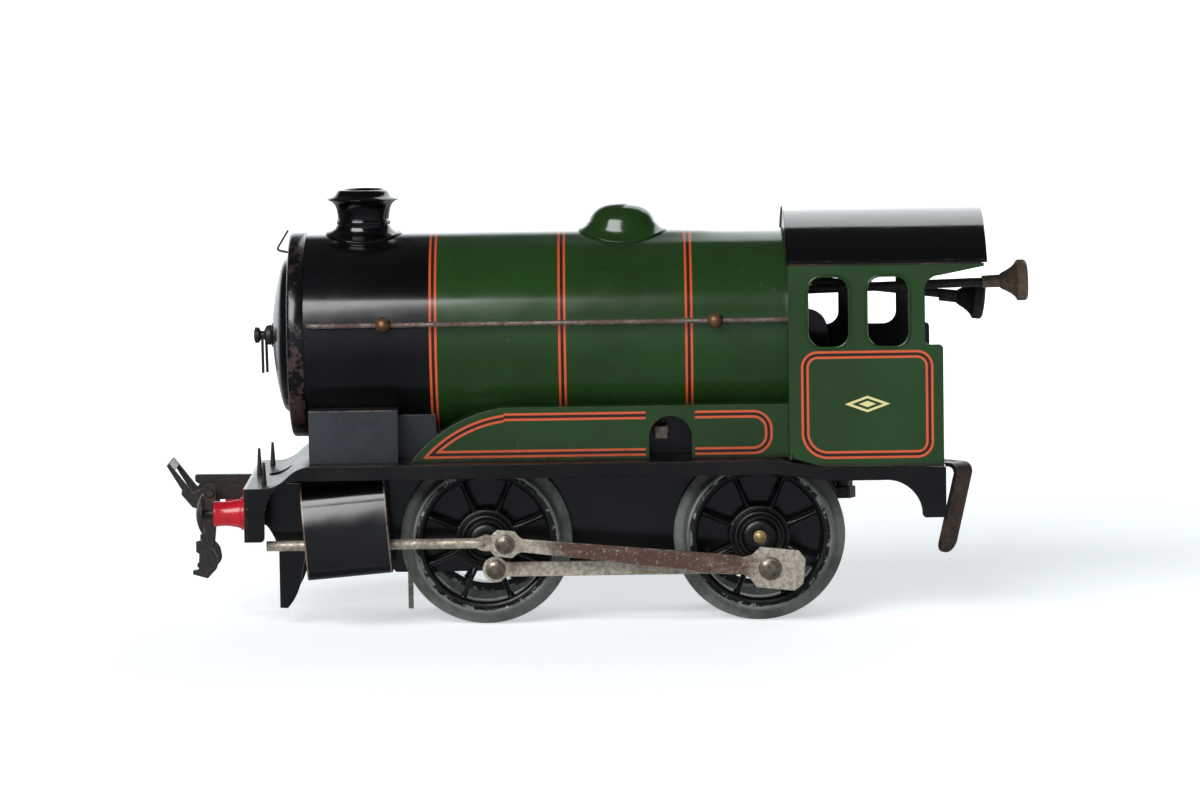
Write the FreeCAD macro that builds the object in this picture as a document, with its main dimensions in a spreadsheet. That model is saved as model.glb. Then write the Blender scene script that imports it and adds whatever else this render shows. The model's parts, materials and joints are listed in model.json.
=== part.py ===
import FreeCAD, Part
import math
import os
import Sketcher
from FreeCAD import Rotation, Vector

# Tinplate clockwork tender locomotive for 32 mm track.  The model frame stands on the
# rail heads: +Z up, -X towards the smokebox, -Y the locomotive's left-hand side.
# Every sub-part is drawn with X = 0 midway between the axles and is then moved along X by
# frame_shift, which puts the origin under the middle of the whole object.

DIMENSIONS = [
    # name, millimetres, meaning
    ("frame_shift", 5.74, "axle midpoint to the middle of the overall length"),
    ("wheelbase", 63.5, "axle to axle"),
    ("flange_radius", 20.0, "wheel over the flange, which is also the axle height"),
    ("tread_radius", 17.1, "wheel tread at the front face"),
    ("rim_inner", 14.4, "inside of the wheel rim"),
    ("hub_disc", 7.2, "solid middle of the wheel"),
    ("hub_radius", 6.1, "raised hub ring"),
    ("spoke_width", 1.3, "one spoke"),
    ("spoke_count", 8, "spokes in a wheel"),
    ("wheel_back", 14.2, "wheel back face from the centre plane"),
    ("flange_width", 1.3, "flange thickness"),
    ("wheel_face", 20.0, "wheel front face from the centre plane"),
    ("web_inner", 16.6, "back of the spokes"),
    ("web_outer", 18.2, "front of the spokes"),
    ("axle_radius", 1.5, "axle"),
    ("running_gap", 0.05, "radial clearance of a shaft in its hole"),
    ("crank_radius", 6.8, "crank throw"),
    ("crank_angle", -72, "left crank at rest, degrees from +X towards +Z"),
    ("quartering", 90, "right crank ahead of the left one, degrees"),
    ("pin_radius", 1.2, "crank pin shank"),
    ("pin_head", 2.25, "front crank pin head"),
    ("main_pin_head", 2.65, "rear crank pin head"),
    ("coupling_plane", 21.2, "inner face of the coupling rods"),
    ("coupling_thick", 1.0, "coupling rod strip"),
    ("coupling_depth", 3.4, "height of the coupling rod"),
    ("coupling_eye", 2.95, "coupling rod eye"),
    ("connecting_plane", 25.75, "inner face of the connecting rods"),
    ("connecting_thick", 1.0, "connecting rod strip"),
    ("connecting_length", 61.5, "crosshead pin to crank pin"),
    ("piston_plane", 24.3, "centre line of the piston rods"),
    ("piston_rod_radius", 1.2, "piston rod"),
    ("piston_rod_reach", 55.1, "crosshead pin to the front tip of the rod"),
    ("cylinder_middle", -63.9, "cylinder casing along X"),
    ("cylinder_length", 19.6, "cylinder casing"),
    ("cylinder_tilt", 4.8, "front end down, degrees"),
    ("cylinder_height", 23.6, "middle height of the cylinder casing"),
    ("board_top", 38.9, "running board"),
    ("platform_top", 34.0, "front platform"),
    ("cab_floor", 36.9, "footplate under the cab"),
    ("board_half", 30.0, "half the footplate's width"),
    ("board_thick", 0.6, "footplate sheet"),
    ("valance_bottom", 35.6, "lower edge of the side valance"),
    ("beam_front", -87.2, "face of the buffer beam"),
    ("beam_bottom", 21.6, "lower edge of the buffer beam"),
    ("board_rear", 74.5, "rear end of the footplate"),
    ("buffer_height", 27.2, "buffer centre"),
    ("buffer_spread", 20.0, "buffer centre from the centre plane"),
    ("buffer_face", -98.9, "buffer head"),
    ("boiler_axis", 66.9, "height of the boiler's centre line"),
    ("boiler_radius", 23.5, "boiler barrel"),
    ("sheet_thick", 0.6, "boiler, cab and roof sheet"),
    ("boiler_front", -74.4, "front end of the barrel"),
    ("backhead_rear", 48.3, "rear face of the backhead"),
    ("backhead_half", 10.0, "half the backhead's width"),
    ("backhead_top", 72.1, "top of the backhead"),
    ("chimney_x", -59.7, "chimney centre"),
    ("chimney_top", 100.8, "rim of the chimney"),
    ("dome_x", 0.9, "dome centre"),
    ("dome_top", 96.7, "top of the dome"),
    ("flange_sheet", 0.5, "flanges of the chimney and the dome, bent round the boiler"),
    ("rail_height", 71.0, "handrails"),
    ("rail_spread", 25.6, "handrail from the centre plane"),
    ("rail_radius", 0.6, "handrail wire"),
    ("splasher_side", 24.0, "side face of the splashers"),
    ("splasher_shelf", 51.4, "outer edge of the splasher top"),
    ("saddle_side", 24.5, "side face of the smokebox saddle"),
    ("cab_front", 38.6, "cab front sheet"),
    ("cab_side", 29.5, "cab side sheet, outer face"),
    ("eaves", 84.6, "edge of the roof"),
    ("roof_rise", 11.4, "height of the roof's arch"),
    ("roof_rear", 84.3, "rear edge of the roof"),
    ("control_radius", 1.05, "control rods"),
    ("control_spread", 8.0, "control rods from the centre plane"),
    ("control_knob", 4.8, "control knob"),
    ("control_datum", 46.0, "where the heights of the control rods are given"),
    ("drawbar_pivot", 63.6, "rivet that the drawbar swings on"),
    ("drawbar_half", 2.75, "half the drawbar's width"),
    ("drawbar_swing", -45, "drawbar at rest, degrees from +X towards +Y"),
    ("coupling_pin_x", -96.7, "pivot of the front coupling link"),
    ("coupling_pin_z", 30.5, "height of that pivot"),
    ("coupling_pin_radius", 0.9, "coupling pin"),
    ("link_arm_inner", 6.2, "inside of the link's side arms"),
    ("link_arm_thick", 0.9, "link arm"),
    ("plate_inner", 11.5, "inside of the clockwork's frame plates"),
    ("plate_thick", 1.0, "frame plate"),
    ("arbor_x", 9.2, "winding arbor"),
    ("arbor_z", 44.8, "height of the winding arbor"),
    ("arbor_radius", 2.0, "winding arbor, round part"),
    ("arbor_square", 2.8, "winding arbor, square end"),
    ("gear_module", 0.6, "pitch diameter over teeth"),
    ("great_teeth", 50, "great gear"),
    ("pinion_teeth", 10, "intermediate pinion"),
    ("intermediate_teeth", 36, "intermediate gear"),
    ("axle_teeth", 16, "gear on the rear axle"),
]

LEFT = -1
RIGHT = 1
SIDES = (("left", LEFT), ("right", RIGHT))

doc = FreeCAD.newDocument("Locomotive")
sheet = doc.addObject("Spreadsheet::Sheet", "Dimensions")
for row, (alias, value, meaning) in enumerate(DIMENSIONS, start=1):
    sheet.set(f"A{row}", meaning)
    sheet.set(f"B{row}", str(value))
    sheet.setAlias(f"B{row}", alias)
doc.recompute()


class Size:
    """A length that carries its value and the spreadsheet expression that gives it."""

    def __init__(self, value, text):
        self.value = float(value)
        self.text = text

    def __add__(self, other):
        other = as_size(other)
        return Size(self.value + other.value, f"({self.text} + {other.text})")

    def __sub__(self, other):
        other = as_size(other)
        return Size(self.value - other.value, f"({self.text} - {other.text})")

    def __mul__(self, other):
        other = as_size(other)
        return Size(self.value * other.value, f"({self.text} * {other.text})")

    def __truediv__(self, other):
        other = as_size(other)
        return Size(self.value / other.value, f"({self.text} / {other.text})")

    def __neg__(self):
        return self * -1

    def __radd__(self, other):
        return as_size(other) + self

    def __rsub__(self, other):
        return as_size(other) - self

    def __rmul__(self, other):
        return as_size(other) * self

    def __float__(self):
        return self.value


def as_size(number):
    if isinstance(number, Size):
        return number
    return Size(number, f"({float(number):.6g})")


class Dimensions:
    """Gives each spreadsheet alias as a Size."""

    def __getattr__(self, alias):
        return Size(float(sheet.get(alias)), f"Dimensions.{alias}")


d = Dimensions()
half_base = d.wheelbase / 2
axle_height = d.flange_radius


def bind(target, path, size):
    """Sets a property from a Size and keeps it bound to the spreadsheet."""
    size = as_size(size)
    target.setExpression(path, size.text)


def polar(radius, degrees):
    angle = math.radians(degrees)
    return float(radius) * math.cos(angle), float(radius) * math.sin(angle)


# ---------------------------------------------------------------- sketches and features

def new_body(label, x=0, y=0, z=0, axis=None, angle=0):
    """A body placed at x, y, z and turned by angle degrees about axis."""
    body = doc.addObject("PartDesign::Body", label)
    body.Label = label
    if axis:
        body.Placement = FreeCAD.Placement(Vector(), Rotation(axis, float(angle)))
    bind(body, "Placement.Base.x", as_size(x) + d.frame_shift)
    bind(body, "Placement.Base.y", y)
    bind(body, "Placement.Base.z", z)
    return body


def new_sketch(body, plane, offset=0):
    """A sketch on XY_Plane, XZ_Plane (normal -Y) or YZ_Plane of the body's own origin."""
    sketch = body.newObject("Sketcher::SketchObject", f"{body.Name}_sketch")
    support = next(item for item in body.Origin.OriginFeatures if item.Role == plane)
    sketch.AttachmentSupport = [(support, "")]
    sketch.MapMode = "FlatFace"
    bind(sketch, "AttachmentOffset.Base.z", offset)
    return sketch


def fix_point(sketch, geometry, vertex, x, y):
    """Holds one point of the sketch at x, y, bound to the spreadsheet."""
    for kind, size, axis in (("DistanceX", as_size(x), -2), ("DistanceY", as_size(y), -1)):
        if abs(size.value) < 1e-9:
            sketch.addConstraint(Sketcher.Constraint("PointOnObject", geometry, vertex, axis))
            continue
        index = sketch.addConstraint(
            Sketcher.Constraint(kind, -1, 1, geometry, vertex, size.value))
        if "Dimensions" in size.text:
            sketch.setExpression(f"Constraints[{index}]", size.text)


def outline(sketch, points):
    """Closed outline.  A point (x, y, (mx, my)) is reached by an arc through mx, my."""
    first = sketch.GeometryCount
    corners = [Vector(float(point[0]), float(point[1]), 0) for point in points]
    for index, point in enumerate(points):
        start, end = corners[index - 1], corners[index]
        if len(point) == 3:
            middle = Vector(float(point[2][0]), float(point[2][1]), 0)
            sketch.addGeometry(Part.Arc(start, middle, end), False)
        else:
            sketch.addGeometry(Part.LineSegment(start, end), False)
    return first


def bound_outline(sketch, points):
    """Closed outline of straight edges whose corners stay bound to the spreadsheet."""
    first = outline(sketch, points)
    count = len(points)
    for index in range(count):
        following = (index + 1) % count
        sketch.addConstraint(
            Sketcher.Constraint("Coincident", first + index, 2, first + following, 1))
    for index, point in enumerate(points):
        fix_point(sketch, first + index, 2, point[0], point[1])


def circle(sketch, x, y, radius):
    radius = as_size(radius)
    index = sketch.addGeometry(
        Part.Circle(Vector(float(x), float(y), 0), Vector(0, 0, 1), radius.value), False)
    fix_point(sketch, index, 3, x, y)
    constraint = sketch.addConstraint(Sketcher.Constraint("Radius", index, radius.value))
    sketch.setExpression(f"Constraints[{constraint}]", radius.text)


def cap_middle(rim_along, rim_radius, apex_along):
    """Halfway point of a spherical cap's arc, as (along the axis, radius)."""
    rise = rim_along - apex_along
    ball = (rim_radius ** 2 + rise ** 2) / (2 * rise)
    radius = rim_radius / 2
    return apex_along + ball - math.copysign(math.sqrt(ball ** 2 - radius ** 2), ball), radius


def rectangle(sketch, x_low, x_high, y_low, y_high):
    bound_outline(sketch, [(x_low, y_low), (x_high, y_low), (x_high, y_high), (x_low, y_high)])


def rounded_rectangle(sketch, x_low, x_high, y_low, y_high, radius):
    """Rectangle with quarter-round corners."""
    bulge = radius * (1 - math.sqrt(0.5))
    outline(sketch, [
        (x_low + radius, y_low),
        (x_high - radius, y_low),
        (x_high, y_low + radius, (x_high - bulge, y_low + bulge)),
        (x_high, y_high - radius),
        (x_high - radius, y_high, (x_high - bulge, y_high - bulge)),
        (x_low + radius, y_high),
        (x_low, y_high - radius, (x_low + bulge, y_high - bulge)),
        (x_low, y_low + radius),
        (x_low + radius, y_low, (x_low + bulge, y_low + bulge)),
    ][1:])


def add_pad(body, sketch, length, both_ways=False):
    pad = body.newObject("PartDesign::Pad", f"{body.Name}_pad")
    pad.Profile = sketch
    pad.SideType = "Symmetric" if both_ways else "One side"
    bind(pad, "Length", length)
    return pad


def add_pocket(body, sketch, length, both_ways=False, along_normal=False):
    pocket = body.newObject("PartDesign::Pocket", f"{body.Name}_pocket")
    pocket.Profile = sketch
    pocket.SideType = "Symmetric" if both_ways else "One side"
    pocket.Reversed = along_normal
    bind(pocket, "Length", length)
    return pocket


def add_turning(body, sketch, axis):
    turning = body.newObject("PartDesign::Revolution", f"{body.Name}_turning")
    turning.Profile = sketch
    turning.ReferenceAxis = (sketch, [axis])
    turning.Angle = 360
    return turning


def side_sketch(body, side, inner, thickness):
    """XZ sketch from which a pad of the given thickness starts inner mm from Y = 0."""
    inner = as_size(inner)
    offset = inner if side == LEFT else -(inner + thickness)
    return new_sketch(body, "XZ_Plane", offset)


def slab(body, side, inner, thickness, points):
    """Sheet parallel to the centre plane, on one side of it."""
    sketch = side_sketch(body, side, inner, thickness)
    outline(sketch, points)
    return add_pad(body, sketch, thickness)


def cut_boiler_space(body, radius, length=200):
    """Takes the boiler's cylinder out of a piece that sits against it."""
    sketch = new_sketch(body, "YZ_Plane")
    circle(sketch, 0, d.boiler_axis, radius)
    return add_pocket(body, sketch, length, both_ways=True)


def cylinder_y(name, radius, y_low, y_high, x, z):
    """Plain round bar along Y."""
    bar = doc.addObject("Part::Cylinder", name)
    bar.Placement = FreeCAD.Placement(Vector(), Rotation(Vector(1, 0, 0), -90))
    bind(bar, "Radius", radius)
    bind(bar, "Height", as_size(y_high) - y_low)
    bind(bar, "Placement.Base.x", as_size(x) + d.frame_shift)
    bind(bar, "Placement.Base.y", y_low)
    bind(bar, "Placement.Base.z", z)
    return bar


def cylinder_x(name, radius, x_low, length):
    """Plain round bar along X, on the boiler's centre line."""
    bar = doc.addObject("Part::Cylinder", name)
    bar.Placement = FreeCAD.Placement(Vector(), Rotation(Vector(0, 1, 0), 90))
    bind(bar, "Radius", radius)
    bind(bar, "Height", length)
    bind(bar, "Placement.Base.x", as_size(x_low) + d.frame_shift)
    bind(bar, "Placement.Base.z", d.boiler_axis)
    return bar


def cylinder_z(name, radius, z_low, height, x, y):
    """Plain round bar along Z."""
    bar = doc.addObject("Part::Cylinder", name)
    bind(bar, "Radius", radius)
    bind(bar, "Height", height)
    bind(bar, "Placement.Base.x", as_size(x) + d.frame_shift)
    bind(bar, "Placement.Base.y", y)
    bind(bar, "Placement.Base.z", z_low)
    return bar


def group(label, members):
    """Several separate solids of one kind in one node."""
    compound = doc.addObject("Part::Compound", label)
    compound.Links = members
    compound.Label = label
    return compound


def fuse(label, members):
    fusion = doc.addObject("Part::MultiFuse", label)
    fusion.Shapes = members
    fusion.Label = label
    return fusion


# ---------------------------------------------------------------- wheels and motion

def crank_offset(side):
    angle = float(d.crank_angle)
    if side == RIGHT:
        angle += float(d.quartering)
    return polar(d.crank_radius, angle)


def make_wheel(label, side, axle_x):
    body = new_body(label, x=axle_x, z=axle_height)
    profile = new_sketch(body, "XY_Plane")
    back, face = d.wheel_back * side, d.wheel_face * side
    web_in, web_out = d.web_inner * side, d.web_outer * side
    hub_back = (d.wheel_back - 0.8) * side
    cap = (d.wheel_face + 0.2) * side
    bound_outline(profile, [
        (d.axle_radius, hub_back),
        (3.5, hub_back),
        (3.5, web_in),
        (d.rim_inner, web_in),
        (d.rim_inner, back),
        (d.flange_radius, back),
        (d.flange_radius, (d.wheel_back + d.flange_width * 0.6) * side),
        (d.flange_radius - 2.3, (d.wheel_back + d.flange_width + 0.5) * side),
        (d.tread_radius, face),
        (d.rim_inner + 1.2, face),
        (d.rim_inner, web_out),
        (d.hub_radius, web_out),
        (d.hub_radius, (d.wheel_face - 0.5) * side),
        (3.5, cap),
        (d.axle_radius, cap),
    ])
    add_turning(body, profile, "V_Axis")

    pin_x, pin_z = crank_offset(side)
    boss = side_sketch(body, side, d.web_outer, d.wheel_face + 0.2 - d.web_outer)
    circle(boss, pin_x, pin_z, d.pin_radius + 1.4)
    add_pad(body, boss, d.wheel_face + 0.2 - d.web_outer)

    gap = 360 / float(d.spoke_count)
    half = float(d.spoke_width) / 2
    window = new_sketch(body, "XZ_Plane")
    corners = []
    for radius, sign in ((d.hub_disc, 1), (d.rim_inner, 1), (d.rim_inner, -1), (d.hub_disc, -1)):
        lean = math.degrees(math.asin(half / float(radius)))
        corners.append(polar(radius, gap - sign * (gap / 2 - lean)))
    outline(window, [
        corners[1],
        (*corners[2], polar(d.rim_inner, gap)),
        corners[3],
        (*corners[0], polar(d.hub_disc, gap)),
    ])
    cut = add_pocket(body, window, d.wheel_face * 2 + 4, both_ways=True)
    pattern = body.newObject("PartDesign::PolarPattern", f"{label}_spokes")
    pattern.Originals = [cut]
    pattern.Axis = (next(item for item in body.Origin.OriginFeatures if item.Role == "Y_Axis"), [""])
    pattern.Angle = 360
    bind(pattern, "Occurrences", d.spoke_count)
    body.Tip = pattern

    bore = new_sketch(body, "XZ_Plane")
    circle(bore, pin_x, pin_z, d.pin_radius)
    add_pocket(body, bore, d.wheel_face * 2 + 4, both_ways=True)
    return body


def make_axle(label, axle_x):
    """Round bar with slightly reduced, domed ends that stand just proud of the wheels."""
    body = new_body(label, x=axle_x, z=axle_height)
    profile = new_sketch(body, "XY_Plane")
    shoulder = d.wheel_face + 0.2
    tip = float(shoulder) + 0.6
    rim = float(shoulder) + 0.2
    bulge, half_rim = cap_middle(rim, 1.1, tip)
    outline(profile, [
        (0, -tip),
        (1.1, -rim, (half_rim, -bulge)),
        (1.1, -float(shoulder)),
        (d.axle_radius, -float(shoulder)),
        (d.axle_radius, float(shoulder)),
        (1.1, float(shoulder)),
        (1.1, rim),
        (0, tip, (half_rim, bulge)),
    ])
    add_turning(body, profile, "V_Axis")
    return body


def make_crank_pins(label, axle_x, shank_end, head_radius, head_thick):
    """One pin each side: a shank in the wheel and a riveted head outside the rods."""
    members = []
    for name, side in SIDES:
        pin_x, pin_z = crank_offset(side)
        x = axle_x + pin_x
        z = axle_height + pin_z
        inner, outer = d.web_inner + 0.2, as_size(shank_end)
        head_end = outer + head_thick
        low, high = (-outer, -inner) if side == LEFT else (inner, outer)
        head_low, head_high = (-head_end, -outer) if side == LEFT else (outer, head_end)
        shank = cylinder_y(f"{label}_shank_{name}", d.pin_radius, low, high, x, z)
        head = cylinder_y(f"{label}_head_{name}", head_radius, head_low, head_high, x, z)
        members.append(fuse(f"{label}_{name}", [shank, head]))
    return group(label, members)


def make_coupling_rod(label, side):
    """Strip with a round eye at each crank pin, drawn from the rear pin forwards."""
    pin_x, pin_z = crank_offset(side)
    body = new_body(label, x=half_base + pin_x, z=axle_height + pin_z)
    front = -d.wheelbase
    half = d.coupling_depth / 2
    bar = side_sketch(body, side, d.coupling_plane, d.coupling_thick)
    rectangle(bar, front, 0, -half, half)
    add_pad(body, bar, d.coupling_thick)
    for x in (0, front):
        eye = side_sketch(body, side, d.coupling_plane, d.coupling_thick)
        circle(eye, x, 0, d.coupling_eye)
        add_pad(body, eye, d.coupling_thick)
    for x in (0, front):
        hole = new_sketch(body, "XZ_Plane")
        circle(hole, x, 0, d.pin_radius + d.running_gap)
        add_pocket(body, hole, 80, both_ways=True)
    return body


def rod_line(side):
    """Crank pin position, crosshead X and the connecting rod's angle at rest."""
    pin_x, pin_z = crank_offset(side)
    crank_x = float(half_base) + pin_x
    length = float(d.connecting_length)
    crosshead_x = crank_x - math.sqrt(length ** 2 - pin_z ** 2)
    angle = math.degrees(math.asin(-pin_z / length))
    return crank_x, pin_z, crosshead_x, angle


def make_connecting_rod(label, side):
    """Strip with a chamfered block at the crank and a small chamfered eye in front."""
    crank_x, pin_z, _, angle = rod_line(side)
    body = new_body(label, x=crank_x, z=axle_height + pin_z, axis=Vector(0, 1, 0), angle=angle)
    front = -float(d.connecting_length)
    upper = [
        (8.0, 2.9), (6.2, 4.7), (-2.7, 4.7), (-4.5, 2.6), (-6.2, 2.0), (-9.0, 2.3),
        (front + 4.0, 1.5), (front + 3.1, 2.0), (front + 2.0, 3.1), (front - 2.0, 3.1),
        (front - 3.1, 2.0),
    ]
    lower = [(x, -z) for x, z in reversed(upper)]
    slab(body, side, d.connecting_plane, d.connecting_thick, upper + lower)
    hole = new_sketch(body, "XZ_Plane")
    circle(hole, 0, 0, d.pin_radius + d.running_gap)
    add_pocket(body, hole, 80, both_ways=True)
    front_hole = new_sketch(body, "XZ_Plane")
    circle(front_hole, -d.connecting_length, 0, d.pin_radius)
    add_pocket(body, front_hole, 80, both_ways=True)
    return body


def make_crosshead_pin(label, side):
    """Riveted in the connecting rod; it ends flush with the rod's inner face."""
    crosshead_x = rod_line(side)[2]
    inner = d.connecting_plane
    outer = inner + d.connecting_thick
    low, high = (-outer, -inner) if side == LEFT else (inner, outer)
    head = outer + 0.9
    head_low, head_high = (-head, -outer) if side == LEFT else (outer, head)
    shank = cylinder_y(f"{label}_shank", d.pin_radius, low, high, crosshead_x, axle_height)
    cap = cylinder_y(f"{label}_head", d.pin_head, head_low, head_high, crosshead_x, axle_height)
    return fuse(label, [shank, cap])


def make_piston_rod(label, side):
    """Round rod flattened to a small plate with an eye at the crosshead end."""
    body = new_body(label, x=rod_line(side)[2], z=axle_height)
    round_part = new_sketch(body, "YZ_Plane", -d.piston_rod_reach)
    circle(round_part, d.piston_plane * side, 0, d.piston_rod_radius)
    add_pad(body, round_part, d.piston_rod_reach - 5)
    upper = [(3.0, 1.0), (2.2, 1.8), (-5.0, 1.8), (-6.5, 1.2)]
    flat = upper + [(x, -z) for x, z in reversed(upper)]
    slab(body, side, d.piston_plane - 0.6, as_size(1.2), flat)
    eye = new_sketch(body, "XZ_Plane")
    circle(eye, 0, 0, d.pin_radius)
    add_pocket(body, eye, 80, both_ways=True)
    return body


def make_cylinder(label, side):
    """Bent sheet casing: round-topped section, end plates, open towards the frames."""
    body = new_body(label, x=d.cylinder_middle, z=d.cylinder_height,
                    axis=Vector(0, 1, 0), angle=-d.cylinder_tilt)
    section = new_sketch(body, "YZ_Plane")
    outline(section, [
        (20.5 * side, -10.6),
        (27.0 * side, -10.6),
        (29.0 * side, -8.2, (28.4 * side, -10.0)),
        (26.9 * side, 6.2, (28.6 * side, -0.9)),
        (22.6 * side, 11.0, (25.3 * side, 9.3)),
        (20.5 * side, 11.6, (21.6 * side, 11.4)),
    ])
    add_pad(body, section, d.cylinder_length, both_ways=True)
    hollow = new_sketch(body, "YZ_Plane")
    outline(hollow, [
        (19.0 * side, -9.9),
        (26.8 * side, -9.9),
        (28.3 * side, -8.0, (27.8 * side, -9.4)),
        (26.2 * side, 6.0, (27.9 * side, -1.0)),
        (22.2 * side, 10.4, (24.7 * side, 8.8)),
        (19.0 * side, 10.9, (20.7 * side, 10.8)),
    ])
    add_pocket(body, hollow, d.cylinder_length - d.sheet_thick * 2, both_ways=True)
    gland = new_sketch(body, "YZ_Plane")
    circle(gland, d.piston_plane * side, axle_height - d.cylinder_height, 2.4)
    add_pocket(body, gland, d.cylinder_length * 2, both_ways=True)
    return body


# ---------------------------------------------------------------- footplate and fittings

def make_footplate():
    """One pressing: platform, raised running board, cab floor and both valances."""
    body = new_body("footplate")
    front = float(d.beam_front) + 0.7
    rear = float(d.board_rear)
    high, low, floor = float(d.board_top), float(d.platform_top), float(d.cab_floor)
    thick = float(d.board_thick)

    def top_line(drop):
        """Upper line from the rear to the front, lowered by drop."""
        return [
            (rear, floor - drop),
            (47.0, floor - drop),
            (36.0, high - drop),
            (-72.6, high - drop),
            (-77.2, (high + low) / 2 - drop, (-75.2, high - 0.9 - drop)),
            (-82.0, low - drop, (-79.3, low + 0.9 - drop)),
            (front, low - drop),
        ]

    under = top_line(thick)
    under_reversed = [
        (front, low - thick),
        (-82.0, low - thick),
        (-77.2, (high + low) / 2 - thick, (-79.3, low + 0.9 - thick)),
        (-72.6, high - thick, (-75.2, high - 0.9 - thick)),
        (36.0, high - thick),
        (47.0, floor - thick),
        (rear, under[0][1]),
    ]
    sheet_profile = new_sketch(body, "XZ_Plane")
    outline(sheet_profile, top_line(0) + under_reversed)
    add_pad(body, sheet_profile, d.board_half * 2, both_ways=True)

    bottom = float(d.beam_bottom)
    skirt = float(d.valance_bottom)
    valance = top_line(0) + [
        (front, bottom),
        (front + 3.0, bottom),
        (front + 4.0, bottom + 1.0, (front + 3.7, bottom + 0.3)),
        (front + 4.1, 28.6),
        (-73.5, skirt, (-80.0, 33.4)),
        (36.0, skirt),
        (47.0, skirt - 1.6),
        (60.0, skirt - 1.6),
        (69.0, 26.6, (66.8, 31.4)),
        (70.4, 25.2, (69.3, 25.5)),
        (rear, 25.2),
    ]
    for side in (LEFT, RIGHT):
        slab(body, side, d.board_half - thick, as_size(thick), valance)

    slot = new_sketch(body, "XY_Plane")
    rectangle(slot, -32.0, 38.5, -13.4, 13.4)
    add_pocket(body, slot, 60, along_normal=True)
    for axle_x in (-half_base, half_base):
        for side in (LEFT, RIGHT):
            well = new_sketch(body, "XY_Plane")
            y_low, y_high = sorted((13.3 * side, 21.4 * side))
            rectangle(well, axle_x - 10.5, axle_x + 10.5, y_low, y_high)
            add_pocket(body, well, 60, along_normal=True)

    lamp_hole = new_sketch(body, "XY_Plane")
    outline(lamp_hole, [(-83.0, 0, (-80.3, -3.4)), (-77.6, 0, (-80.3, 3.4))])
    add_pocket(body, lamp_hole, 60, along_normal=True)
    return body


def make_buffer_beam():
    body = new_body("buffer_beam", x=d.beam_front)
    face = new_sketch(body, "YZ_Plane")
    rectangle(face, -d.board_half, d.board_half, d.beam_bottom, d.platform_top)
    add_pad(body, face, 0.7)
    return body


def make_buffer(name, side):
    """Flared stock on the beam, and a head whose stalk is a tight fit in it."""
    place = {"x": d.beam_front, "y": d.buffer_spread * side, "z": d.buffer_height}
    stock = new_body(f"buffer_stock_{name}", **place)
    profile = new_sketch(stock, "XY_Plane")
    outline(profile, [
        (0, 3.8),
        (-0.9, 3.8),
        (-1.3, 3.45, (-1.2, 3.7)),
        (-7.2, 3.0, (-4.4, 2.85)),
        (-7.6, 2.6, (-7.5, 2.9)),
        (-7.6, 1.1),
        (0, 1.1),
    ])
    add_turning(stock, profile, "H_Axis")
    head = new_body(f"buffer_head_{name}", **place)
    disc = new_sketch(head, "XY_Plane")
    tip = float(d.buffer_face - d.beam_front)
    outline(disc, [
        (0, 0),
        (tip, 0),
        (tip + 1.3, 4.6, cap_middle(tip + 1.3, 4.6, tip)),
        (tip + 1.8, 4.3, (tip + 1.7, 4.6)),
        (tip + 1.4, 1.1, (tip + 1.45, 2.6)),
        (0, 1.1),
    ])
    add_turning(head, disc, "H_Axis")
    return [stock, head]


def make_coupling():
    """Fixed hook plate, its cross pin, and the drop link that swings on the pin."""
    pin_x, pin_z = float(d.coupling_pin_x), float(d.coupling_pin_z)
    hook = new_body("coupling_hook")
    plate = new_sketch(hook, "XZ_Plane")
    outline(plate, [
        (d.beam_front, 34.1), (-99.9, 34.2), (-100.5, 33.7, (-100.35, 34.05)), (-100.4, 32.6),
        (-99.6, 32.1), (-98.9, 29.9), (-97.6, 28.8, (-98.4, 29.1)), (-94.3, 28.3), (d.beam_front, 28.3),
    ])
    add_pad(hook, plate, 1.6, both_ways=True)
    hole = new_sketch(hook, "XZ_Plane")
    circle(hole, pin_x, pin_z, d.coupling_pin_radius)
    add_pocket(hook, hole, 10, both_ways=True)

    reach = d.link_arm_inner + d.link_arm_thick + 0.5
    pin = cylinder_y("coupling_pin", d.coupling_pin_radius, -reach, reach,
                     d.coupling_pin_x, d.coupling_pin_z)

    link = new_body("coupling_link", x=d.coupling_pin_x, z=d.coupling_pin_z)
    arm = [
        (-9.2, 7.1), (-3.9, 0.2), (-1.5, 1.3, (-2.9, 0.6)), (1.5, 1.0, (0.2, 2.1)),
        (1.5, -3.0), (0.5, -9.0), (0.1, -13.0), (1.5, -15.7, (1.1, -14.2)),
        (1.1, -18.1, (1.6, -17.0)), (-0.8, -20.1), (-4.3, -19.1), (-4.2, -18.2), (-2.9, -17.9),
        (-2.7, -14.3), (-3.4, -13.8), (-3.4, -11.4), (-1.9, -11.0), (-1.6, -6.0),
        (-4.0, -3.3, (-2.3, -4.2)), (-6.6, -0.2), (-6.4, 0.8), (-9.9, 6.6), (-9.2, 7.1, (-9.8, 7.2)),
    ]
    for side in (LEFT, RIGHT):
        slab(link, side, d.link_arm_inner, d.link_arm_thick, arm[:-1])
    bar = new_sketch(link, "XZ_Plane")
    outline(bar, [(-9.2, 7.1), (-8.0, 5.4), (-8.8, 4.9), (-9.9, 6.6)])
    add_pad(link, bar, d.link_arm_inner * 2 + 0.4, both_ways=True)
    eye = new_sketch(link, "XZ_Plane")
    circle(eye, 0, 0, d.coupling_pin_radius + d.running_gap)
    add_pocket(link, eye, 40, both_ways=True)
    return [hook, pin, link]


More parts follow.
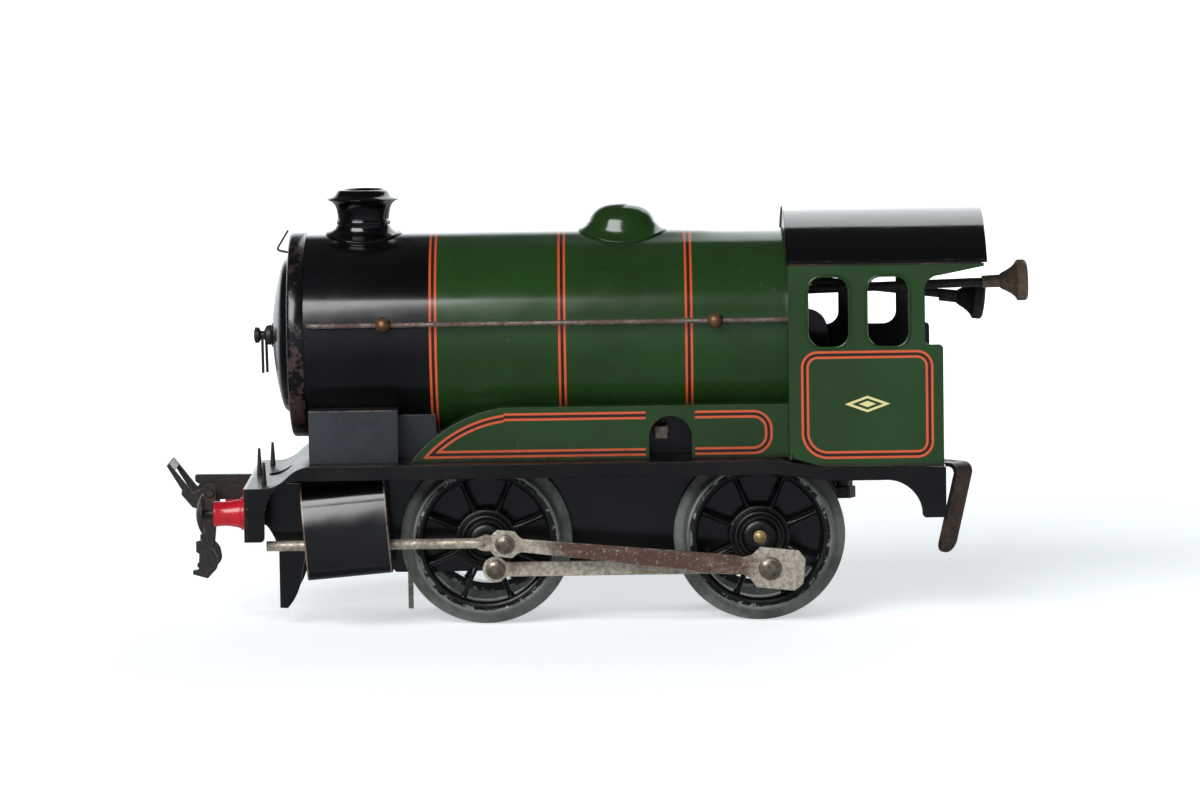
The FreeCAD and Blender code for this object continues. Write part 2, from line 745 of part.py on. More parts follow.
def make_lamp_irons():
    """Three tapered spikes on the front platform."""
    members = []
    places = (("left", -83.0, -20.0, 5.0), ("middle", -85.3, 0.0, 6.2), ("right", -83.4, 20.0, 5.4))
    for name, x, y, height in places:
        spike = doc.addObject("Part::Cone", f"lamp_iron_{name}")
        bind(spike, "Radius1", 0.65)
        bind(spike, "Radius2", 0.3)
        bind(spike, "Height", height)
        bind(spike, "Placement.Base.x", x + d.frame_shift)
        bind(spike, "Placement.Base.y", y)
        bind(spike, "Placement.Base.z", d.platform_top)
        members.append(spike)
    return group("lamp_irons", members)


def make_smokebox_lamp_iron():
    """Narrow bent strip that stands on the smokebox front."""
    body = new_body("smokebox_lamp_iron")
    strip = new_sketch(body, "XZ_Plane")
    outline(strip, [
        (-78.4, 84.8), (-78.9, 84.8), (-78.9, 86.0), (-80.1, 86.7), (-79.6, 87.6), (-78.9, 91.4),
        (-78.4, 91.3), (-79.1, 87.5), (-79.4, 86.9), (-78.4, 86.3),
    ])
    add_pad(body, strip, 1.8, both_ways=True)
    return body


# ---------------------------------------------------------------- boiler

def make_boiler():
    """Rolled barrel with a slot underneath that lets the clockwork stand up inside."""
    body = new_body("boiler_barrel", x=d.boiler_front, z=d.boiler_axis)
    ring = new_sketch(body, "YZ_Plane")
    circle(ring, 0, 0, d.boiler_radius)
    circle(ring, 0, 0, d.boiler_radius - d.sheet_thick)
    add_pad(body, ring, d.cab_front - d.boiler_front)
    slot = new_sketch(body, "XY_Plane", -d.boiler_radius - 1)
    rectangle(slot, -32.0 - d.boiler_front, d.cab_front - d.boiler_front, -13.4, 13.4)
    add_pocket(body, slot, 16, along_normal=True)
    return body


def make_backhead():
    """Narrow cover behind the cab front sheet, round at its upper corner, open in front and below."""
    body = new_body("backhead")
    front = float(d.cab_front + d.sheet_thick)
    thick = float(d.sheet_thick)

    def cover(shrink, low_front, low_rear):
        rear = float(d.backhead_rear) - shrink
        top = float(d.backhead_top) - shrink
        bend = 5.0 - shrink
        corner = (rear - bend * 0.293, top - bend * 0.293)
        return [(front, low_front), (47.0, low_rear), (rear, low_rear), (rear, top - bend),
                (rear - bend, top, corner), (front, top)]

    block = new_sketch(body, "XZ_Plane")
    outline(block, cover(0, 38.36, 36.94))
    add_pad(body, block, d.backhead_half * 2, both_ways=True)
    inside = new_sketch(body, "XZ_Plane")
    ceiling = (front - 1, float(d.backhead_top) - thick)
    outline(inside, [(front - 1, 30.0)] + cover(thick, 30.0, 30.0)[2:5] + [ceiling])
    add_pocket(body, inside, (d.backhead_half - thick) * 2, both_ways=True)
    return body


def make_smokebox_front():
    """Raised ring and dished door, pressed as one."""
    body = new_body("smokebox_front", x=d.boiler_front, z=d.boiler_axis)
    profile = new_sketch(body, "XY_Plane")
    outer = float(d.boiler_radius) + 0.4
    outline(profile, [
        (0, outer),
        (-3.1, outer),
        (-4.0, outer - 0.9, (-3.75, outer - 0.25)),
        (-4.0, 18.8),
        (-3.4, 18.2),
        (-7.6, 0, cap_middle(-3.4, 18.2, -7.6)),
        (-6.9, 0),
        (-2.7, 17.8, cap_middle(-2.7, 17.8, -6.9)),
        (-2.7, 22.6),
        (0, 22.6),
    ])
    add_turning(body, profile, "H_Axis")
    return body


def make_door_handle():
    """Turned boss and knob with two short hanging levers."""
    body = new_body("smokebox_door_handle", x=d.boiler_front, z=d.boiler_axis)
    profile = new_sketch(body, "XY_Plane")
    outline(profile, [
        (-7.5, 0), (-7.5, 2.4), (-8.6, 2.2), (-9.2, 1.0), (-9.9, 1.0), (-10.3, 1.8), (-11.2, 1.9),
        (-11.5, 1.2), (-11.5, 0),
    ])
    add_turning(body, profile, "H_Axis")
    for x, lean in ((-9.9, 0.6), (-9.0, 2.2)):
        lever = new_sketch(body, "YZ_Plane", x)
        outline(lever, [(-0.7, 0), (0.7, 0), (lean + 0.45, -9.0), (lean - 0.45, -9.0)])
        add_pad(body, lever, 0.6)
    return body


def boiler_flange(name, x, radius):
    """Round plate bent over the boiler, which a boiler fitting stands on."""
    disc = cylinder_z(f"{name}_disc", radius, 80.0, 14.0, x, 0)
    outer = cylinder_x(f"{name}_outer", d.boiler_radius + d.flange_sheet, x - 20, 40)
    inner = cylinder_x(f"{name}_inner", d.boiler_radius, x - 20, 40)
    bent = doc.addObject("Part::Common", f"{name}_bent")
    bent.Base = disc
    bent.Tool = outer
    flange = doc.addObject("Part::Cut", f"{name}_flange")
    flange.Base = bent
    flange.Tool = inner
    return flange


def make_chimney():
    body = new_body("chimney_stack", x=d.chimney_x)
    profile = new_sketch(body, "XZ_Plane")
    top = float(d.chimney_top)
    outline(profile, [
        (0, 86.0),
        (7.4, 86.0),
        (7.4, 90.4),
        (6.1, 93.6, (6.4, 91.7)),
        (6.1, 96.4),
        (8.6, top - 2.1, (6.8, top - 2.9)),
        (8.6, top - 1.7),
        (6.8, top - 1.0, (7.8, top - 1.4)),
        (6.3, top),
        (5.2, top),
        (5.2, 91.6),
        (0, 91.6),
    ])
    add_turning(body, profile, "V_Axis")
    cut_boiler_space(body, d.boiler_radius)
    return fuse("chimney", [body, boiler_flange("chimney", d.chimney_x, 9.0)])


def make_dome():
    body = new_body("dome_cap", x=d.dome_x)
    profile = new_sketch(body, "XZ_Plane")
    top = float(d.dome_top)
    shoulder = top - 0.8
    cap_height, cap_radius = cap_middle(shoulder, 5.4, top)
    outline(profile, [
        (0, 86.0),
        (9.3, 86.0),
        (9.3, 90.6),
        (8.2, 92.2, (8.5, 91.2)),
        (8.2, 93.2),
        (5.4, shoulder, (7.5, 95.1)),
        (0, top, (cap_radius, cap_height)),
    ])
    add_turning(body, profile, "V_Axis")
    cut_boiler_space(body, d.boiler_radius)
    return fuse("dome", [body, boiler_flange("dome", d.dome_x, 10.4)])


def make_handrail(label, side):
    """Wire along the boiler, turned in towards it at the front."""
    body = new_body(label, z=d.rail_height)
    y = float(d.rail_spread) * side
    bend = 2.2
    front = float(d.boiler_front) + 2.4
    spine = new_sketch(body, "XY_Plane")
    corner = bend * (1 - math.sqrt(0.5))
    spine.addGeometry(Part.LineSegment(Vector(float(d.cab_front), y, 0), Vector(front + bend, y, 0)), False)
    spine.addGeometry(Part.Arc(
        Vector(front + bend, y, 0),
        Vector(front + corner, y - corner * side, 0),
        Vector(front, y - bend * side, 0)), False)
    section = new_sketch(body, "YZ_Plane", d.cab_front)
    circle(section, y, 0, d.rail_radius)
    pipe = body.newObject("PartDesign::AdditivePipe", f"{label}_pipe")
    pipe.Profile = section
    pipe.Spine = (spine, ["Edge1", "Edge2"])
    return body


def make_handrail_knobs():
    """Ball-headed pillars; the wire passes through each ball."""
    members = []
    for name, side in SIDES:
        for position, x in (("front", -54.5), ("rear", 22.0)):
            label = f"handrail_knob_{position}_{name}"
            body = new_body(label, x=x, z=d.rail_height)
            profile = new_sketch(body, "XY_Plane")
            middle = float(d.rail_spread) * side
            stem = 0.8
            joint = middle - math.sqrt(1.9 ** 2 - stem ** 2) * side
            outline(profile, [
                (0, 23.3 * side),
                (stem, 23.3 * side),
                (stem, joint),
                (0, middle + 1.9 * side, (1.9, middle)),
            ])
            add_turning(body, profile, "V_Axis")
            hole = new_sketch(body, "YZ_Plane")
            circle(hole, middle, 0, d.rail_radius)
            add_pocket(body, hole, 10, both_ways=True)
            members.append(body)
    return group("handrail_knobs", members)


def make_splasher(label, side):
    """Side box over the wheels, with a keyhole arch for the winding key."""
    body = new_body(label)
    side_face = d.splasher_side
    shelf = float(d.splasher_shelf)
    floor = float(d.board_top)
    rear = float(d.cab_front)
    solid = new_sketch(body, "XZ_Plane", 16.0 if side == LEFT else -side_face)
    outline(solid, [
        (-48.8, floor, (-40.0, 46.9)), (rear, floor), (rear, shelf), (-27.0, shelf),
    ])
    add_pad(body, solid, side_face - 16.0)
    inside = new_sketch(body, "XZ_Plane", 10.0 if side == LEFT else -(side_face - 0.6))
    outline(inside, [
        (-47.6, floor - 1, (-39.6, 46.2)), (rear + 1, floor - 1), (rear + 1, shelf - 0.6),
        (-27.0, shelf - 0.6),
    ])
    add_pocket(body, inside, side_face - 10.6, along_normal=True)
    arch = new_sketch(body, "XZ_Plane", 22.0 if side == LEFT else -26.0)
    outline(arch, [
        (6.4, floor - 1), (16.2, floor - 1), (16.2, 44.0), (6.4, 44.0, (11.3, 48.9)),
    ])
    add_pocket(body, arch, 4, along_normal=True)
    cut_boiler_space(body, d.boiler_radius)
    return body


def make_saddle():
    """Box that carries the smokebox and its narrower neck behind, hollow underneath."""
    body = new_body("smokebox_saddle")
    block = new_sketch(body, "XZ_Plane")
    rectangle(block, -72.2, -51.6, d.board_top, 51.2)
    add_pad(body, block, d.saddle_side * 2, both_ways=True)
    inside = new_sketch(body, "XY_Plane", d.board_top)
    rectangle(inside, -71.4, -52.4, -(d.saddle_side - 0.8), d.saddle_side - 0.8)
    add_pocket(body, inside, 11.5, along_normal=True)
    neck = new_sketch(body, "XZ_Plane")
    rectangle(neck, -51.6, -43.0, d.board_top, 49.4)
    add_pad(body, neck, 31.0, both_ways=True)
    under_neck = new_sketch(body, "XY_Plane", d.board_top)
    rectangle(under_neck, -52.0, -43.8, -14.7, 14.7)
    add_pocket(body, under_neck, 9.7, along_normal=True)
    cut_boiler_space(body, d.boiler_radius)
    return body


# ---------------------------------------------------------------- cab

def make_cab():
    """Front sheet and two side sheets bent from one piece."""
    body = new_body("cab_shell")
    front, side_face, thick = d.cab_front, d.cab_side, d.sheet_thick
    eaves = float(d.eaves) - 0.9
    sheet_front = new_sketch(body, "YZ_Plane", front)
    outline(sheet_front, [
        (-side_face, d.board_top), (side_face, d.board_top), (side_face, eaves),
        (-side_face, eaves, (0, eaves + float(d.roof_rise) - 0.1)),
    ])
    for side, height in ((LEFT, left_rod_height), (RIGHT, right_rod_height)):
        rod_height = height(front + thick * 0.5)
        circle(sheet_front, d.control_spread * side, rod_height, d.control_radius + 0.25)
    add_pad(body, sheet_front, thick)
    floor = float(d.cab_floor)
    front_x = float(front)
    edge = [
        (front_x, 41.6), (front_x + 1.2, 39.1), (47.0, floor + 0.05), (74.1, floor + 0.05),
        (74.1, 64.1), (73.1, 65.1, (73.8, 64.8)), (71.2, 65.1), (70.0, 66.3, (70.35, 65.45)), (70.0, 76.6),
        (73.4, 81.0, (70.6, 79.6)), (83.6, 83.0), (83.6, eaves), (front_x, eaves),
    ]
    for side in (LEFT, RIGHT):
        slab(body, side, side_face - thick, thick, edge)
    for x_low, x_high in ((43.1, 52.5), (56.7, 66.3)):
        window = new_sketch(body, "XZ_Plane")
        rounded_rectangle(window, x_low, x_high, 64.8, 81.0, 3.3)
        add_pocket(body, window, side_face * 2 + 4, both_ways=True)
    return body


def make_roof():
    body = new_body("cab_roof")
    half = float(d.board_half)
    eaves = float(d.eaves)
    rise = float(d.roof_rise)
    thick = float(d.sheet_thick)
    arch = new_sketch(body, "YZ_Plane", d.cab_front - 0.4)
    outline(arch, [
        (-half, eaves, (0, eaves + rise)),
        (-half + 0.3, eaves - 0.75),
        (half - 0.3, eaves - 0.75, (0, eaves + rise - thick)),
        (half, eaves),
    ])
    add_pad(body, arch, d.roof_rear - d.cab_front + 0.4)
    return body


# ---------------------------------------------------------------- controls and drawbar

LEFT_SLOPE = 1.6
RIGHT_SLOPE = -6.6


def left_rod_height(x):
    return 76.5 + (x - d.control_datum) * math.tan(math.radians(LEFT_SLOPE))


def right_rod_height(x):
    return 77.2 + (x - d.control_datum) * math.tan(math.radians(RIGHT_SLOPE))


def make_control(name, side, slope, height, knob_end):
    """Straight rod through the cab front sheet, and the flared knob on its end."""
    start = d.control_datum - 14
    place = {"x": start, "y": d.control_spread * side, "z": height(start),
             "axis": Vector(0, 1, 0), "angle": -slope}
    run = (knob_end - float(start)) / math.cos(math.radians(slope))
    rod = new_body(f"{name}_rod", **place)
    section = new_sketch(rod, "YZ_Plane")
    circle(section, 0, 0, d.control_radius)
    add_pad(rod, section, run - 2.0)
    knob = new_body(f"{name}_knob", **place)
    profile = new_sketch(knob, "XY_Plane")
    top = float(d.control_knob)
    inner = float(d.control_radius)
    outline(profile, [
        (run - 10.6, inner), (run - 10.6, 1.7), (run - 7.5, 2.1, (run - 9.2, 1.75)),
        (run - 4.0, 3.6, (run - 5.6, 2.6)), (run - 3.4, top), (run - 0.8, top),
        (run, top - 0.9, (run - 0.25, top - 0.25)), (run, 0), (run - 2.0, 0), (run - 2.0, inner),
    ])
    add_turning(knob, profile, "H_Axis")
    return [rod, knob]


def make_drawbar():
    """Strip that swings under the cab floor, bent down and forwards, with round ends."""
    body = new_body("tender_drawbar", x=d.drawbar_pivot, axis=Vector(0, 0, 1), angle=d.drawbar_swing)
    top, thick = float(d.cab_floor - d.board_thick) - 0.1, 0.9
    half = float(d.drawbar_half)
    tip = 14.7
    strip = new_sketch(body, "XZ_Plane")
    outline(strip, [
        (0, top), (20.3, top), (22.5, 33.6, (22.0, top - 0.75)), (16.9, tip), (16.0, tip + 0.25),
        (21.6, 33.85), (20.1, top - thick, (21.2, top - 1.35)), (0, top - thick),
    ])
    add_pad(body, strip, half * 2, both_ways=True)
    eye = new_sketch(body, "XY_Plane", top - thick)
    circle(eye, 0, 0, half)
    add_pad(body, eye, thick)
    for side in (LEFT, RIGHT):
        corner = new_sketch(body, "YZ_Plane", 14.0)
        slope = polar(half, 45)
        outline(corner, [
            (half * 1.1 * side, tip - 1), (half * 1.1 * side, tip + half), (half * side, tip + half),
            (0, tip, (slope[0] * side, tip + half - slope[1])), (0, tip - 1),
        ])
        add_pocket(body, corner, 6, along_normal=True)
    hole = new_sketch(body, "XY_Plane")
    circle(hole, 0, 0, 1.25)
    add_pocket(body, hole, 90, both_ways=True)
    return body


def make_screws():
    """Two studs with nuts, which hold the clockwork, and the rivet that the drawbar swings on."""
    members = []
    for name, side in SIDES:
        x = 51.6
        stud = cylinder_z(f"stud_{name}", 1.5, 30.0, d.cab_floor - d.board_thick - 30.0, x, 8.0 * side)
        nut = doc.addObject("Part::Prism", f"nut_{name}")
        nut.Polygon = 6
        bind(nut, "Circumradius", 2.9)
        bind(nut, "Height", 2.6)
        bind(nut, "Placement.Base.x", x + d.frame_shift)
        bind(nut, "Placement.Base.y", 8.0 * side)
        bind(nut, "Placement.Base.z", 27.6)
        members.append(fuse(f"fixing_{name}", [stud, nut]))
    under = d.cab_floor - d.board_thick
    shank = cylinder_z("rivet_shank", 1.2, under - 1.1, 1.1, d.drawbar_pivot, 0)
    head = cylinder_z("rivet_head", 2.2, under - 1.8, 0.7, d.drawbar_pivot, 0)
    members.append(fuse("drawbar_rivet", [shank, head]))
    return group("fixing_screws", members)


def make_guard_iron(label, side):
    """Tapered blade in front of the cylinder, hung from the platform and the beam."""
    body = new_body(label)
    slab(body, side, as_size(13.5), as_size(0.8), [
        (-86.3, 33.3), (-86.3, 25.4), (-82.9, 23.5), (-80.2, 17.6, (-81.3, 20.9)), (-80.2, 4.2),
        (-78.4, 4.1), (-75.3, 10.0, (-76.6, 6.6)), (-74.0, 17.2), (-73.4, 26.0), (-74.6, 33.3),
    ])
    return body


# ---------------------------------------------------------------- clockwork

def intermediate_centre():
    """Centre of the intermediate gear, in mesh with the great gear and the axle gear."""
    arbor = Vector(float(d.arbor_x), float(d.arbor_z), 0)
    axle = Vector(float(half_base), float(axle_height), 0)
    module = float(d.gear_module)
    first = module * (float(d.great_teeth) + float(d.pinion_teeth)) / 2
    second = module * (float(d.intermediate_teeth) + float(d.axle_teeth)) / 2
    span = (axle - arbor).Length
    cosine = (first ** 2 + span ** 2 - second ** 2) / (2 * first * span)
    heading = math.atan2(axle.y - arbor.y, axle.x - arbor.x) + math.acos(cosine)
    return arbor + Vector(math.cos(heading), math.sin(heading), 0) * first


def make_frame_plate(label, side):
    """Frame plate: low part under the footplate, high part inside the boiler."""
    body = new_body(label)
    under = float(d.board_top - d.board_thick)
    slab(body, side, d.plate_inner, d.plate_thick, [
        (-55.0, 14.0), (-53.0, 12.0), (48.0, 12.0), (50.0, 14.0), (50.0, 30.0), (46.0, under - 2.7),
        (38.0, under - 0.7), (38.0, 57.0), (35.0, 60.5), (-27.0, 60.5), (-30.5, 57.0), (-30.5, under),
        (-55.0, under),
    ])
    centre = intermediate_centre()
    holes = new_sketch(body, "XZ_Plane")
    for x in (-half_base, half_base):
        circle(holes, x, axle_height, d.axle_radius + d.running_gap)
    circle(holes, d.arbor_x, d.arbor_z, d.arbor_radius + d.running_gap)
    circle(holes, centre.x, centre.y, 1.0 + d.running_gap)
    circle(holes, -50.2, 24.0, 1.0 + d.running_gap)
    add_pocket(body, holes, 80, both_ways=True)
    return body


def make_pillars():
    """Spacers riveted between the frame plates."""
    members = []
    for x, z in ((-47.0, 33.5), (-40.0, 33.5), (-4.0, 16.0), (46.0, 16.0), (-26.0, 54.0), (33.5, 55.5)):
        name = f"pillar_{len(members) + 1}"
        members.append(cylinder_y(name, 1.3, -d.plate_inner, d.plate_inner, x, z))
    return group("frame_pillars", members)


def gear_outline(teeth, phase):
    """Corners of a straight-sided tooth outline; phase turns it by that many degrees."""
    module = float(d.gear_module)
    pitch_radius = module * teeth / 2
    step = 360 / teeth
    points = []
    for index in range(teeth):
        middle = phase + index * step
        for radius, share in ((-1.1, -0.25), (0.7, -0.10), (0.7, 0.10), (-1.1, 0.25)):
            points.append(polar(pitch_radius + radius * module, middle + share * step))
    return points


def add_gear(body, teeth, phase, y_low, width, bore):
    """Gear from Y = y_low, with a round bore."""
    sketch = new_sketch(body, "XZ_Plane", -(as_size(y_low) + width))
    outline(sketch, gear_outline(int(float(teeth)), phase))
    circle(sketch, 0, 0, bore)
    return add_pad(body, sketch, width)


def make_gears():
    """Great gear, intermediate gear with its pinion, and the gear on the rear axle."""
    centre = intermediate_centre()
    arbor_x, arbor_z = float(d.arbor_x), float(d.arbor_z)
    to_pinion = math.degrees(math.atan2(centre.y - arbor_z, centre.x - arbor_x))
    to_axle = math.degrees(math.atan2(float(axle_height) - centre.y, float(half_base) - centre.x))
    half_pinion = 180 / float(d.pinion_teeth)
    half_axle = 180 / float(d.axle_teeth)
    great = new_body("great_gear", x=d.arbor_x, z=d.arbor_z)
    add_gear(great, d.great_teeth, to_pinion, -10.2, 1.2, d.arbor_radius + d.running_gap)

    middle = new_body("intermediate_gear", x=centre.x, z=centre.y)
    shaft = new_sketch(middle, "XZ_Plane")
    circle(shaft, 0, 0, 1.0)
    add_pad(middle, shaft, d.plate_inner * 2 + 1.6, both_ways=True)
    add_gear_on_shaft(middle, d.pinion_teeth, to_pinion + 180 + half_pinion, -10.6, 4.0)
    add_gear_on_shaft(middle, d.intermediate_teeth, to_axle, -6.6, 1.2)

    axle_gear = new_body("axle_gear", x=half_base, z=axle_height)
    add_gear(axle_gear, d.axle_teeth, to_axle + 180 + half_axle, -7.2, 2.4, d.axle_radius)
    return [great, middle, axle_gear]


def add_gear_on_shaft(body, teeth, phase, y_low, width):
    """Gear in one piece with the shaft it stands on."""
    sketch = new_sketch(body, "XZ_Plane", -(y_low + width))
    outline(sketch, gear_outline(int(float(teeth)), phase))
    return add_pad(body, sketch, width)


def make_winding_arbor():
    """Shaft across the plates, with a square end for the key on the left."""
    shaft_low = -(d.plate_inner + d.plate_thick)
    shaft_high = d.plate_inner + d.plate_thick
    shaft = cylinder_y("arbor_shaft", d.arbor_radius, shaft_low, shaft_high, d.arbor_x, d.arbor_z)
    square = doc.addObject("Part::Box", "arbor_end")
    bind(square, "Length", d.arbor_square)
    bind(square, "Height", d.arbor_square)
    bind(square, "Width", 8.5)
    bind(square, "Placement.Base.x", d.arbor_x - d.arbor_square / 2 + d.frame_shift)
    bind(square, "Placement.Base.y", shaft_low - 8.5)
    bind(square, "Placement.Base.z", d.arbor_z - d.arbor_square / 2)
    return fuse("winding_arbor", [shaft, square])


def make_mainspring():
    """The wound spring as one ring round the arbor."""
    outer = cylinder_y("spring_outer", 13.0, -3.6, 9.6, d.arbor_x, d.arbor_z)
    inner = cylinder_y("spring_inner", 4.0, -3.8, 9.8, d.arbor_x, d.arbor_z)
    ring = doc.addObject("Part::Cut", "mainspring")
    ring.Base = outer
    ring.Tool = inner
    ring.Label = "mainspring"
    return ring


def make_trip_lever():
    """Lever between the plates that a track fitting can push over."""
    body = new_body("trip_lever", x=-50.2, z=24.0)
    blade = new_sketch(body, "XZ_Plane")
    outline(blade, [
        (-1.9, 1.9), (-1.9, -1.9), (-0.6, -8.0), (-0.6, -22.3), (0.6, -22.3), (0.6, -8.0),
        (1.9, -1.9), (1.9, 1.9),
    ])
    add_pad(body, blade, 1.0, both_ways=True)
    shaft = new_sketch(body, "XZ_Plane")
    circle(shaft, 0, 0, 1.0)
    add_pad(body, shaft, d.plate_inner * 2 + 1.6, both_ways=True)
    return body


# ---------------------------------------------------------------- assembly

def build():
    parts = [
        make_footplate(), make_buffer_beam(), make_lamp_irons(), make_smokebox_lamp_iron(),
        make_smokebox_front(), make_door_handle(), make_boiler(), make_backhead(), make_saddle(),
        make_chimney(), make_dome(), make_handrail_knobs(), make_cab(), make_roof(),
        make_drawbar(), make_screws(), make_pillars(), make_mainspring(), make_winding_arbor(),
        make_trip_lever(),
        make_axle("front_axle", -half_base), make_axle("rear_axle", half_base),
        make_crank_pins("front_crank_pins", -half_base, 22.25, d.pin_head, 0.65),
        make_crank_pins("rear_crank_pins", half_base, 26.8, d.main_pin_head, 1.0),
    ]
    parts += make_coupling()
    parts += make_gears()
    parts += make_control("brake", LEFT, LEFT_SLOPE, left_rod_height, 95.0)
    parts += make_control("reverse", RIGHT, RIGHT_SLOPE, right_rod_height, 85.8)
    for name, side in SIDES:
        parts += make_buffer(name, side)
        parts += [
            make_wheel(f"front_wheel_{name}", side, -half_base),
            make_wheel(f"rear_wheel_{name}", side, half_base),
            make_coupling_rod(f"coupling_rod_{name}", side),
            make_connecting_rod(f"connecting_rod_{name}", side),
            make_crosshead_pin(f"crosshead_pin_{name}", side),
            make_piston_rod(f"piston_rod_{name}", side),
            make_cylinder(f"cylinder_{name}", side),
            make_handrail(f"handrail_{name}", side),
            make_splasher(f"splasher_{name}", side),
            make_guard_iron(f"guard_iron_{name}", side),
            make_frame_plate(f"frame_plate_{name}", side),
        ]
    return parts


parts = build()
doc.recompute()

faults = [item.Label for item in doc.Objects if {"Invalid", "Error"} & set(item.State)]
faults += [part.Label for part in parts if part.Shape.isNull() or not part.Shape.isValid()]
if faults:
    raise RuntimeError(f"these objects did not build: {faults}")

overall = FreeCAD.BoundBox()
for part in parts:
    overall.add(part.Shape.BoundBox)
    print(f"{part.Label:24s} solids {len(part.Shape.Solids)}  volume {part.Shape.Volume:9.1f}")
print(f"nodes {len(parts)}  size {overall.XLength:.2f} x {overall.YLength:.2f} x {overall.ZLength:.2f}")
print(f"centre {overall.Center.x:.3f} {overall.Center.y:.3f}  lowest {overall.ZMin:.3f}")

os.makedirs("parts", exist_ok=True)
for part in parts:
    part.Shape.exportStep(f"parts/{part.Label}.step")
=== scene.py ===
import json
import math
import bmesh
import bpy
from mathutils import Euler, Matrix, Vector


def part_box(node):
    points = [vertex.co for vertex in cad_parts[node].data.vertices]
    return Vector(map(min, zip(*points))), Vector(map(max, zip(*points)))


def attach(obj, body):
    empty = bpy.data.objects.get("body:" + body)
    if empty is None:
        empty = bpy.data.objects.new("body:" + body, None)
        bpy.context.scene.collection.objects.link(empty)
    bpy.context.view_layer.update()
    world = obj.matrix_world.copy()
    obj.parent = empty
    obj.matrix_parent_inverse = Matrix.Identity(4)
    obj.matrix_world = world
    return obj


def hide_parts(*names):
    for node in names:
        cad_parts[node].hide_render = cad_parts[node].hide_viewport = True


# A worn tinplate clockwork locomotive.  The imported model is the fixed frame: its nodes keep
# their shape and get painted materials.  The wheels, crank and crosshead pins, control knobs,
# chimney, dome, smokebox front and lamp iron need more relief than the frame holds, so pieces
# built here replace them.  Lengths are metres; profiles and places along the row are millimetres.

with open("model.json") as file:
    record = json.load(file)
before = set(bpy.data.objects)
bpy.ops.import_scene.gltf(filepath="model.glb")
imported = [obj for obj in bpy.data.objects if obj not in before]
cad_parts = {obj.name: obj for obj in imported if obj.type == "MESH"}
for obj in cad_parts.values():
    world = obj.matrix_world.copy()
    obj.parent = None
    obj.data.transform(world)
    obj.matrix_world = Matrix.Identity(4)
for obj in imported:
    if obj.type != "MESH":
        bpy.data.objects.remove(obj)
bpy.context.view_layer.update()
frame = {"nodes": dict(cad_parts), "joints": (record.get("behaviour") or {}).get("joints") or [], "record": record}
NODES = frame["nodes"]
JOINTS = {joint["name"]: joint for joint in frame["joints"]}
SIDES = (("left", -1), ("right", 1))
MM = 0.001

REAR_AXLE = Vector(JOINTS["rear_wheels_roll"]["pos_m"])
FRONT_AXLE = Vector(JOINTS["front_wheels_roll"]["pos_m"])
BOILER_LOW, BOILER_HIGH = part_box("boiler_barrel")
BOILER_AXIS = (BOILER_LOW.z + BOILER_HIGH.z) / 2
BOILER_RADIUS = (BOILER_HIGH.z - BOILER_LOW.z) / 2
MIDDLE = (REAR_AXLE.x + FRONT_AXLE.x) / 2


def along(millimetres):
    """Row X of a place given in millimetres from midway between the axles."""
    return MIDDLE + millimetres * MM


# ------------------------------------------------------------------ shader building blocks

def linear(red, green, blue):
    """Display colour, 0 to 255, as scene-linear values."""
    def channel(value):
        value /= 255
        if value <= 0.04045:
            return value / 12.92
        return ((value + 0.055) / 1.055) ** 2.4
    return (channel(red), channel(green), channel(blue), 1.0)


class Wire:
    """One shader output, with arithmetic that adds Math nodes."""

    def __init__(self, shade, socket):
        self.shade = shade
        self.socket = socket

    def __add__(self, other):
        return self.shade.math("ADD", self, other)

    def __radd__(self, other):
        return self.shade.math("ADD", self, other)

    def __sub__(self, other):
        return self.shade.math("SUBTRACT", self, other)

    def __rsub__(self, other):
        return self.shade.math("SUBTRACT", other, self)

    def __mul__(self, other):
        return self.shade.math("MULTIPLY", self, other)

    def __rmul__(self, other):
        return self.shade.math("MULTIPLY", self, other)

    def __truediv__(self, other):
        return self.shade.math("DIVIDE", self, other)


